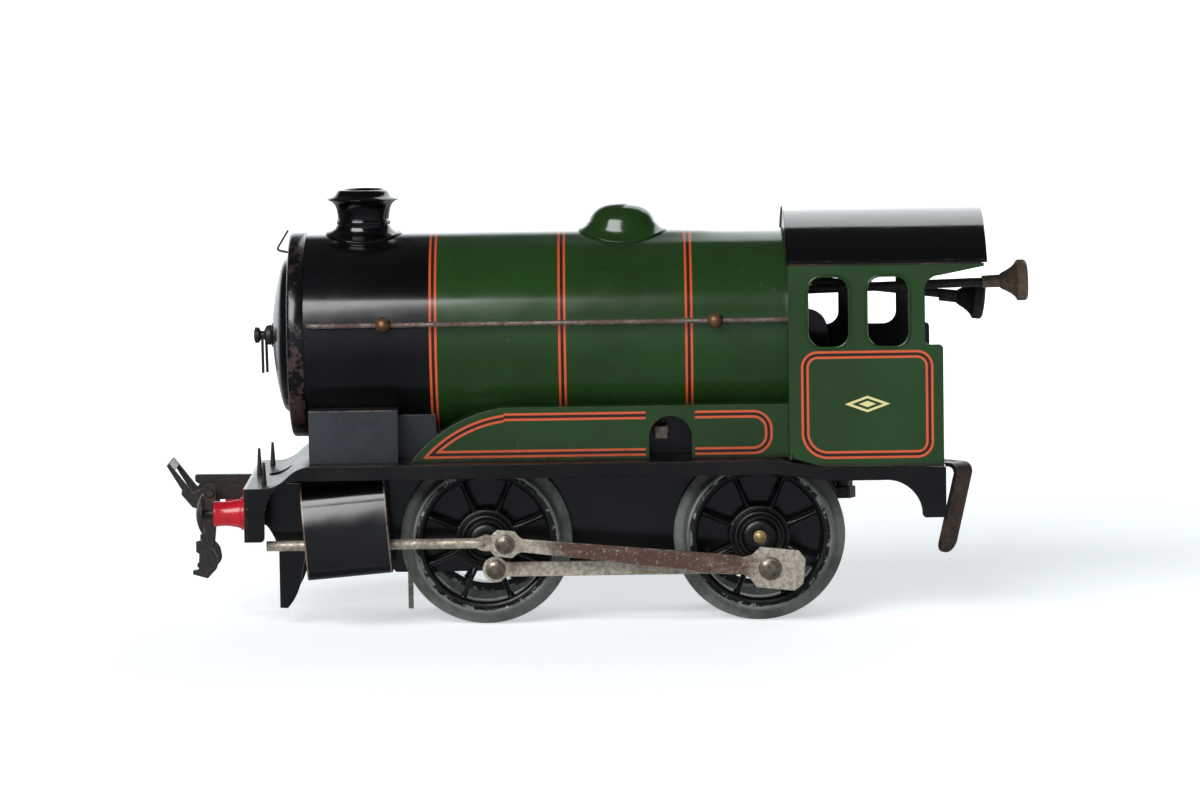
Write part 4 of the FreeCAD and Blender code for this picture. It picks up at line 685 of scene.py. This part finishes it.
class Piece:
    """A mesh put together from turned, extruded and swept shapes."""

    WELD = 0.002 * MM
    SHARP_ANGLE = math.radians(40)

    def __init__(self, name):
        self.name = name
        self.build = bmesh.new()

    def skin(self, rings, closed_rings=True, closed_ends=False):
        """Quads between neighbouring rings of vertices."""
        pairs = list(zip(rings, rings[1:]))
        if closed_ends:
            pairs.append((rings[-1], rings[0]))
        for first, second in pairs:
            count = len(first)
            for index in range(count if closed_rings else count - 1):
                after = (index + 1) % count
                self.build.faces.new((first[index], first[after], second[after], second[index]))

    def turned(self, profile, centre, axis, steps=72, knurl=None):
        """Profile of (radius, distance along the axis) turned about an axis through centre.

        A closed profile ends where it starts.  knurl gives (depth, from, to) of the grooves
        cut between two distances along the axis.
        """
        axis = Vector(axis).normalized()
        across = axis.orthogonal().normalized()
        up = axis.cross(across)
        closed = profile[0] == profile[-1]
        rings = []
        for step in range(steps):
            angle = 2 * math.pi * step / steps
            spoke = across * math.cos(angle) + up * math.sin(angle)
            ring = []
            for radius, distance in (profile[:-1] if closed else profile):
                if knurl and knurl[1] <= distance <= knurl[2]:
                    radius -= knurl[0] * (step % 2)
                ring.append(self.build.verts.new(Vector(centre) + (spoke * radius + axis * distance) * MM))
            rings.append(ring)
        self.skin(rings, closed_rings=closed, closed_ends=True)

    def prism(self, stations):
        """Closed bar through sections given as equal lists of points in metres."""
        rings = [[self.build.verts.new(point) for point in section] for section in stations]
        self.skin(rings)
        self.build.faces.new(rings[0])
        self.build.faces.new(list(reversed(rings[-1])))

    def swept(self, path, radius, sides=10, closed=False):
        """Round wire along a path of points in metres."""
        rings = []
        count = len(path)
        for index, point in enumerate(path):
            before = path[(index - 1) % count] if closed or index else point
            after = path[(index + 1) % count] if closed or index < count - 1 else point
            ahead = (after - before).normalized()
            across = ahead.cross(Vector((0, 1, 0))).normalized()
            up = across.cross(ahead)
            ring = []
            for step in range(sides):
                angle = 2 * math.pi * step / sides
                spoke = across * math.cos(angle) + up * math.sin(angle)
                ring.append(self.build.verts.new(point + spoke * radius))
            rings.append(ring)
        self.skin(rings, closed_ends=closed)

    def done(self, material, body, nodes=()):
        """Finishes the mesh and puts it in the scene on its body."""
        bmesh.ops.remove_doubles(self.build, verts=self.build.verts, dist=self.WELD)
        bmesh.ops.dissolve_degenerate(self.build, edges=self.build.edges, dist=self.WELD)
        bmesh.ops.recalc_face_normals(self.build, faces=self.build.faces)
        for face in self.build.faces:
            face.smooth = True
        mesh = bpy.data.meshes.new(self.name)
        self.build.to_mesh(mesh)
        self.build.free()
        mesh.set_sharp_from_angle(angle=self.SHARP_ANGLE)
        mesh.materials.append(MATERIALS[material])
        item = bpy.data.objects.new(self.name, mesh)
        bpy.context.scene.collection.objects.link(item)
        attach(item, body)
        if nodes:
            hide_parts(*nodes)
        return item


# Wheel profiles are (radius, distance outwards from the locomotive's middle plane); spokes are
# (radius, width, distance of the crest from that plane).
RIM = [
    (14.4, 14.2), (19.5, 14.2), (19.9, 14.4), (20.0, 14.8), (19.9, 15.2), (19.3, 15.6), (18.4, 15.9),
    (17.8, 16.2), (17.5, 16.8), (17.15, 19.5), (17.05, 19.85), (16.8, 20.0), (16.45, 20.0), (16.3, 19.8),
    (16.15, 19.75), (15.9, 19.9), (15.2, 19.95), (14.8, 19.75), (14.5, 19.3), (14.4, 18.6), (14.4, 14.2),
]
HUB = [
    (1.5, 13.4), (3.5, 13.4), (3.5, 16.6), (7.2, 16.6), (7.2, 18.0), (7.0, 18.35), (6.6, 18.45),
    (6.3, 18.3), (6.15, 18.3), (6.05, 19.0), (5.8, 19.4), (5.4, 19.5), (5.1, 19.35), (4.9, 18.95),
    (4.3, 18.9), (4.1, 19.2), (4.0, 19.6), (3.7, 19.95), (3.2, 20.15), (2.0, 20.2), (1.6, 20.1),
    (1.5, 19.9), (1.5, 13.4),
]
SPOKE = [
    (6.7, 2.2, 18.2), (7.7, 1.45, 18.7), (9.0, 1.25, 18.8), (13.0, 1.15, 18.75), (14.0, 1.4, 18.7),
    (14.6, 2.1, 18.5),
]
SPOKE_COUNT = 8
SPOKE_BACK = 16.7
SPOKE_SHOULDER, SPOKE_RIDGE = 0.75, 0.12
RIDGE_SHARE = 0.45
RIM_STEPS, HUB_STEPS, PIN_STEPS = 128, 72, 40
CRANK_BOSS = [(0.0, 16.8), (2.6, 16.8), (2.6, 19.7), (2.45, 20.05), (2.1, 20.2), (0.0, 20.2)]
CRANK_RADIUS = 6.8
CRANK_ANGLES = {-1: -72, 1: 18}


def crank_pin(axle, side):
    """Place of the crank pin on one side's wheel, in the middle plane."""
    angle = math.radians(CRANK_ANGLES[side])
    return axle + Vector((math.cos(angle), 0, math.sin(angle))) * (CRANK_RADIUS * MM)


def make_wheel(node, axle, side, material):
    """Cast wheel: flanged tyre, ridged spokes, ringed hub and a boss for the crank pin."""
    wheel = Piece(f"{node}_casting")
    outwards = (0, side, 0)
    wheel.turned(RIM, axle, outwards, RIM_STEPS)
    wheel.turned(HUB, axle, outwards, HUB_STEPS)
    for index in range(SPOKE_COUNT):
        angle = math.radians(360 / SPOKE_COUNT * (index + 0.5))
        ahead = Vector((math.cos(angle), 0, math.sin(angle)))
        across = Vector((-math.sin(angle), 0, math.cos(angle)))
        stations = []
        for radius, width, crest in SPOKE:
            half = width / 2
            low, high = crest - SPOKE_SHOULDER, crest - SPOKE_RIDGE
            section = [(-half, SPOKE_BACK), (-half, low), (-half * RIDGE_SHARE, high), (0, crest),
                       (half * RIDGE_SHARE, high), (half, low), (half, SPOKE_BACK)]
            stations.append([axle + (ahead * radius + across * w + Vector((0, side * y, 0))) * MM
                             for w, y in section])
        wheel.prism(stations)
    wheel.turned(CRANK_BOSS, crank_pin(axle, side), outwards, PIN_STEPS)
    wheel.done(material, BODY_OF[node], [node])


# Node, axle, where the head's back sits and the head's radius, in millimetres.
CRANK_PINS = (
    ("front_crank_pins", FRONT_AXLE, 22.25, 2.25),
    ("rear_crank_pins", REAR_AXLE, 26.8, 2.65),
)
CRANK_PIN_INNER = 16.8
CROSSHEAD_PIN_INNER, CROSSHEAD_PIN_SEAT, CROSSHEAD_PIN_HEAD = 25.75, 26.75, 2.25
SHANK = 1.2


def domed_pin(piece, centre, side, inner, seat, head_end, head):
    """Shank from inner to seat and a riveted head with a domed face and a rolled edge."""
    thick = head_end - seat
    profile = [
        (0, inner), (SHANK, inner), (SHANK, seat), (head - 0.1, seat), (head, seat + 0.12),
        (head, seat + thick * 0.35), (head - 0.12, seat + thick * 0.55),
        (head * 0.72, seat + thick * 0.62), (head * 0.66, seat + thick * 0.74),
        (head * 0.5, seat + thick * 0.93), (head * 0.25, head_end - 0.02), (0, head_end),
    ]
    piece.turned(profile, centre, (0, side, 0), PIN_STEPS)


def make_pins():
    """Crank pins and crosshead pins, with the head sizes of the nodes they stand for."""
    for node, axle, seat, head in CRANK_PINS:
        pins = Piece(f"{node}_riveted")
        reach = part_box(node)[1].y / MM
        for _, side in SIDES:
            domed_pin(pins, crank_pin(axle, side), side, CRANK_PIN_INNER, seat, reach, head)
        pins.done("pin", BODY_OF[node], [node])
    for name, side in SIDES:
        node = f"crosshead_pin_{name}"
        low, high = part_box(node)
        centre = Vector(((low.x + high.x) / 2, 0, (low.z + high.z) / 2))
        pin = Piece(f"{node}_riveted")
        domed_pin(pin, centre, side, CROSSHEAD_PIN_INNER, CROSSHEAD_PIN_SEAT,
                  max(high.y, -low.y) / MM, CROSSHEAD_PIN_HEAD)
        pin.done("pin", BODY_OF[node], [node])


# (radius, distance along the rod's line from the knob's tip)
KNOB = [
    (1.07, -10.6), (1.45, -10.6), (1.5, -6.5), (1.75, -6.3), (2.1, -5.7), (2.5, -4.9), (3.1, -3.9),
    (3.8, -3.1), (4.45, -2.65), (4.75, -2.5), (4.8, -2.3), (4.8, -0.7), (4.6, -0.35), (4.2, -0.1),
    (3.6, 0.0), (2.9, -0.1), (2.4, -0.25), (0.0, -0.3),
]
KNOB_TIP = 5.3 * MM
KNOB_STEPS = 120
KNURL = (0.22, -2.4, -0.75)


def make_knob(node, joint, material):
    """Flared knob with a knurled rim, on the line of its rod."""
    low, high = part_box(node)
    ahead = Vector(JOINTS[joint]["axis"]).normalized()
    if ahead.x < 0:
        ahead = -ahead
    tip = (low + high) / 2 + ahead * KNOB_TIP
    knob = Piece(f"{node}_turned")
    knob.turned(KNOB, tip, ahead, KNOB_STEPS, knurl=KNURL)
    knob.done(material, BODY_OF[node], [node])


CHIMNEY = [
    (4.2, 91.2, 0), (4.2, 99.9, 0), (4.6, 100.5, 0), (5.2, 100.8, 0), (5.8, 100.7, 0),
    (6.2, 100.3, 0), (6.5, 99.7, 0), (7.2, 99.2, 0), (8.35, 98.78, 0), (8.55, 98.6, 0),
    (8.35, 98.45, 0), (7.4, 98.0, 0), (6.7, 97.3, 0), (6.3, 96.3, 0), (6.1, 95.0, 0),
    (6.05, 93.9, 0), (6.3, 93.6, 0), (6.35, 93.0, 0), (6.2, 92.7, 0), (6.3, 2.2, 0.8),
    (6.8, 1.3, 1), (7.6, 0.85, 1), (8.5, 0.6, 1), (8.9, 0.5, 1), (9.0, 0.3, 1), (8.9, 0.05, 1),
]
DOME = [
    (0.0, 96.7, 0), (1.5, 96.67, 0), (3.0, 96.52, 0), (4.6, 96.1, 0), (5.9, 95.4, 0),
    (6.9, 94.5, 0), (7.55, 93.5, 0), (7.95, 92.5, 0), (8.2, 2.0, 0.75), (8.6, 1.3, 1),
    (9.2, 0.85, 1), (9.9, 0.6, 1), (10.3, 0.5, 1), (10.4, 0.3, 1), (10.3, 0.05, 1),
]


def make_boiler_fitting(node, profile, material, steps=112):
    """Turned pressing whose foot follows the boiler.

    A profile point is (radius, height, share): share 0 gives the height above the rails,
    share 1 the height above the boiler's surface, and between them the two are blended.
    """
    low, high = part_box(node)
    centre = (low.x + high.x) / 2
    piece = Piece(f"{node}_pressed")
    top = BOILER_HIGH.z / MM
    rings = []
    for step in range(steps):
        angle = 2 * math.pi * step / steps
        ring = []
        for radius, height, share in profile:
            y = radius * math.sin(angle)
            surface = BOILER_AXIS / MM + math.sqrt((BOILER_RADIUS / MM) ** 2 - y * y)
            fixed = height if share == 0 else top + height
            z = fixed * (1 - share) + (surface + height) * share
            x = centre + radius * math.cos(angle) * MM
            ring.append(piece.build.verts.new((x, y * MM, z * MM)))
        rings.append(ring)
    piece.skin(rings, closed_rings=False, closed_ends=True)
    piece.done(material, BODY_OF[node], [node])


# (radius, distance ahead of the boiler's front edge)
SMOKEBOX_RING = [
    (23.55, -1.2), (23.8, -1.25), (23.9, -1.1), (23.9, 1.7), (23.75, 2.2), (23.3, 2.5), (22.8, 2.6),
    (19.2, 2.6), (18.6, 2.65), (18.25, 3.0), (17.9, 3.7), (17.4, 4.25), (16.6, 4.65), (15.0, 5.1),
    (12.0, 5.8), (9.0, 6.35), (6.0, 6.75), (3.0, 7.0), (2.8, 7.3), (0.05, 7.45), (0.05, 6.5),
    (9.0, 5.8), (16.4, 4.0), (17.6, 2.1), (22.6, 2.1), (22.6, 0.0), (23.55, 0.0), (23.55, -1.2),
]
# (place along the row, height) of the bent strip's middle line
LAMP_IRON = [
    (-77.2, 86.2), (-79.3, 86.65), (-79.8, 86.85), (-79.95, 87.15), (-79.85, 87.5), (-77.45, 91.4),
]
LAMP_IRON_HALF_THICK, LAMP_IRON_HALF_WIDTH = 0.22 * MM, 0.9 * MM


def make_smokebox_front():
    """Ring and dished door turned as one, and the bent strip over it."""
    ring = Piece("smokebox_front_turned")
    ring.turned(SMOKEBOX_RING, (BOILER_LOW.x, 0, BOILER_AXIS), (-1, 0, 0), RIM_STEPS)
    ring.done("front", BODY_OF["smokebox_front"], ["smokebox_front"])
    iron = Piece("smokebox_lamp_iron_bent")
    stations = []
    for index, (x, z) in enumerate(LAMP_IRON):
        before = Vector(LAMP_IRON[max(index - 1, 0)])
        after = Vector(LAMP_IRON[min(index + 1, len(LAMP_IRON) - 1)])
        ahead = (after - before).normalized()
        normal = Vector((-ahead.y, 0, ahead.x)) * LAMP_IRON_HALF_THICK
        middle = Vector((along(x), 0, z * MM))
        corners = ((-1, -LAMP_IRON_HALF_WIDTH), (-1, LAMP_IRON_HALF_WIDTH),
                   (1, LAMP_IRON_HALF_WIDTH), (1, -LAMP_IRON_HALF_WIDTH))
        stations.append([middle + normal * sign + Vector((0, half, 0)) for sign, half in corners])
    iron.prism(stations)
    iron.done("dark", BODY_OF["smokebox_lamp_iron"], ["smokebox_lamp_iron"])


SEAM_Y, SEAM_LIFT, SEAM_RADIUS = 29.35 * MM, 0.05 * MM, 0.4 * MM
SEAM_FRONT_GAP, SEAM_REAR_GAP = 1.0 * MM, 1.2 * MM
SEAM_MIDDLE = along(74.0)
WIRE_SIDES = 10


def make_eaves():
    """Worn seam where the roof is folded over the cab sides."""
    seam = Piece("cab_roof_seams")
    low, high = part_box("cab_roof")
    places = (low.x + SEAM_FRONT_GAP, SEAM_MIDDLE, high.x - SEAM_REAR_GAP)
    for _, side in SIDES:
        line = [Vector((x, side * SEAM_Y, low.z + SEAM_LIFT)) for x in places]
        seam.swept(line, SEAM_RADIUS, WIRE_SIDES)
    seam.done("drawbar", "root")


CORNER_STEPS = 8


def rounded_loop(left, right, bottom, top, radius, y):
    """Points in metres round a rounded rectangle given in row millimetres."""
    points = []
    corners = ((right - radius, top - radius, 0), (left + radius, top - radius, 90),
               (left + radius, bottom + radius, 180), (right - radius, bottom + radius, 270))
    for x, z, start in corners:
        for step in range(CORNER_STEPS + 1):
            angle = math.radians(start + 90 * step / CORNER_STEPS)
            across, up = radius * math.cos(angle), radius * math.sin(angle)
            points.append(Vector((x + across, y, z + up)) * MM)
    return points


WINDOWS = ((43.1, 52.5), (56.7, 66.3))
WINDOW_BOTTOM, WINDOW_TOP, WINDOW_CORNER = 64.65, 81.15, 3.4
LIP_OUTSET, LIP_Y, LIP_RADIUS = 0.15, 29.55, 0.34 * MM


def make_window_lips():
    """Rolled edges of the cab windows, standing a little outside the sheet."""
    lips = Piece("cab_window_lips")
    shift = MIDDLE / MM
    for _, side in SIDES:
        for left, right in WINDOWS:
            path = rounded_loop(left + shift - LIP_OUTSET, right + shift + LIP_OUTSET,
                                WINDOW_BOTTOM, WINDOW_TOP, WINDOW_CORNER, side * LIP_Y)
            lips.swept(path, LIP_RADIUS, WIRE_SIDES, closed=True)
    lips.done("green", "root")


for end, axle in (("front", FRONT_AXLE), ("rear", REAR_AXLE)):
    for name, side in SIDES:
        make_wheel(f"{end}_wheel_{name}", axle, side, f"{end}_wheels")
make_pins()
make_knob("brake_knob", "brake_control_slide", "bronze")
make_knob("reverse_knob", "reverse_control_slide", "dark")
make_window_lips()
make_boiler_fitting("chimney", CHIMNEY, "chimney")
make_boiler_fitting("dome", DOME, "green")
make_smokebox_front()
make_eaves()


# ------------------------------------------------------------------ floor, light and camera

def emitter(name, place, aim, size, power, colour=(1.0, 1.0, 1.0)):
    """Rectangular light at a place, turned to its aim and unseen by the camera."""
    light = bpy.data.lights.new(name, "AREA")
    light.shape = "RECTANGLE"
    light.size, light.size_y = size
    light.energy = power
    light.color = colour
    item = bpy.data.objects.new(name, light)
    bpy.context.scene.collection.objects.link(item)
    item.location = place
    item.rotation_euler = (Vector(aim) - Vector(place)).to_track_quat("-Z", "Y").to_euler()
    item.visible_camera = False
    return item


def glowing(shade, colour, strength):
    """Adds light of its own to a stage surface."""
    shade.feed(shade.surface.inputs["Emission Color"], colour)
    shade.feed(shade.surface.inputs["Emission Strength"], strength)


def stage_piece(name, build, material):
    """Puts a mesh in the scene as part of the stage."""
    mesh = bpy.data.meshes.new(name)
    build.to_mesh(mesh)
    build.free()
    mesh.materials.append(material)
    item = bpy.data.objects.new(name, mesh)
    bpy.context.scene.collection.objects.link(item)
    return item


FLOOR_RADIUS, BACKDROP_RADIUS = 3.0, 6.0
FLOOR_GLOW, FAR_FLOOR_GLOW, BACKDROP_GLOW = 0.50, 1.1, 1.2
FLOOR_FADE = (0.16, 0.9)


def paper_floor():
    """White paper that the model stands on; bright enough to have no visible edge."""
    shade = Shade("studio_paper")
    tone = shade.mix(shade.noise(6, 3, 0.5), (0.86, 0.885, 0.90, 1.0), (0.83, 0.865, 0.885, 1.0))
    shade.set(colour=tone, roughness=0.9, specular=0.0)
    far = shade.ramp(shade.length(shade.x, shade.y), *FLOOR_FADE, FLOOR_GLOW, FAR_FLOOR_GLOW)
    glowing(shade, (0.94, 0.98, 1.0, 1.0), far)
    build = bmesh.new()
    bmesh.ops.create_circle(build, cap_ends=True, segments=96, radius=FLOOR_RADIUS)
    floor = stage_piece("studio_floor", build, shade.material)
    floor.visible_glossy = False


def white_backdrop():
    """Plain white all round, seen by the camera alone."""
    shade = Shade("studio_backdrop")
    tone = shade.mix(shade.noise(0.4, 2, 0.5), (1.0, 1.0, 1.0, 1.0), (0.99, 0.99, 0.99, 1.0))
    shade.set(colour=tone, roughness=1.0, specular=0.0)
    glowing(shade, (1.0, 1.0, 1.0, 1.0), BACKDROP_GLOW)
    build = bmesh.new()
    bmesh.ops.create_uvsphere(build, u_segments=48, v_segments=24, radius=BACKDROP_RADIUS)
    backdrop = stage_piece("studio_backdrop", build, shade.material)
    for ray in ("visible_glossy", "visible_diffuse", "visible_transmission", "visible_shadow"):
        setattr(backdrop, ray, False)


FRONT_LEVEL, BACK_LEVEL = 0.33, 1.6


def studio_world():
    """Dim front, black ceiling and a bright wall low down behind the model."""
    world = bpy.data.worlds.new("studio")
    world.use_nodes = True
    air = Graph(world.node_tree, "Generated")
    height = air.math("ARCTAN2", air.z, air.size(air.y)) * (180 / math.pi)
    behind = air.ramp(air.y, -0.05, 0.05)
    front = air.ramp(height, 16, 24, 1.0, 0.10) * air.ramp(height, -30, 8, 0.35, 1.0)
    back = air.ramp(height, 34, 14, 0.03, 1.0) * air.ramp(height, -12, 2, 0.2, 1.0)
    level = front * (1.0 - behind) * FRONT_LEVEL + back * behind * BACK_LEVEL
    level = level * air.ramp(air.x, -0.9, -0.35, 0.2, 1.0)
    tint = air.mix(behind, (0.86, 0.95, 1.08, 1.0), (0.94, 1.0, 1.03, 1.0))
    background = world.node_tree.nodes["Background"]
    air.feed(background.inputs["Color"], tint)
    air.feed(background.inputs["Strength"], level)
    bpy.context.scene.world = world


CAMERA_PLACE = Vector((0.0074, -1.3090, 0.1836))
CAMERA_DOWN, CAMERA_YAW, CAMERA_ROLL = 5.81, -0.29, -0.86
LENS, SENSOR = 168.0, 36.0


def make_camera():
    """Long lens opposite the left side, looking slightly down."""
    data = bpy.data.cameras.new("camera")
    data.lens = LENS
    data.sensor_width = SENSOR
    data.clip_start = 0.01
    item = bpy.data.objects.new("camera", data)
    bpy.context.scene.collection.objects.link(item)
    turn = Euler((0, 0, math.radians(-CAMERA_YAW)), "XYZ").to_matrix()
    tilt = Euler((math.radians(90 - CAMERA_DOWN), 0, 0), "XYZ").to_matrix()
    roll = Euler((0, 0, math.radians(CAMERA_ROLL)), "XYZ").to_matrix()
    item.matrix_world = Matrix.Translation(CAMERA_PLACE) @ (turn @ tilt @ roll).to_4x4()
    bpy.context.scene.camera = item


paper_floor()
white_backdrop()
studio_world()
make_camera()
emitter("back_window", place=(0.695, 1.15, 0.99), aim=(0.695, 0, 0.99), size=(1.3, 1.48),
        power=13.5, colour=(0.94, 0.99, 1.0))
emitter("front_softbox", place=(-0.75, -1.35, 1.0), aim=(-0.02, 0, 0.06), size=(1.3, 0.9),
        power=30)
bpy.context.scene.view_settings.view_transform = "Standard"
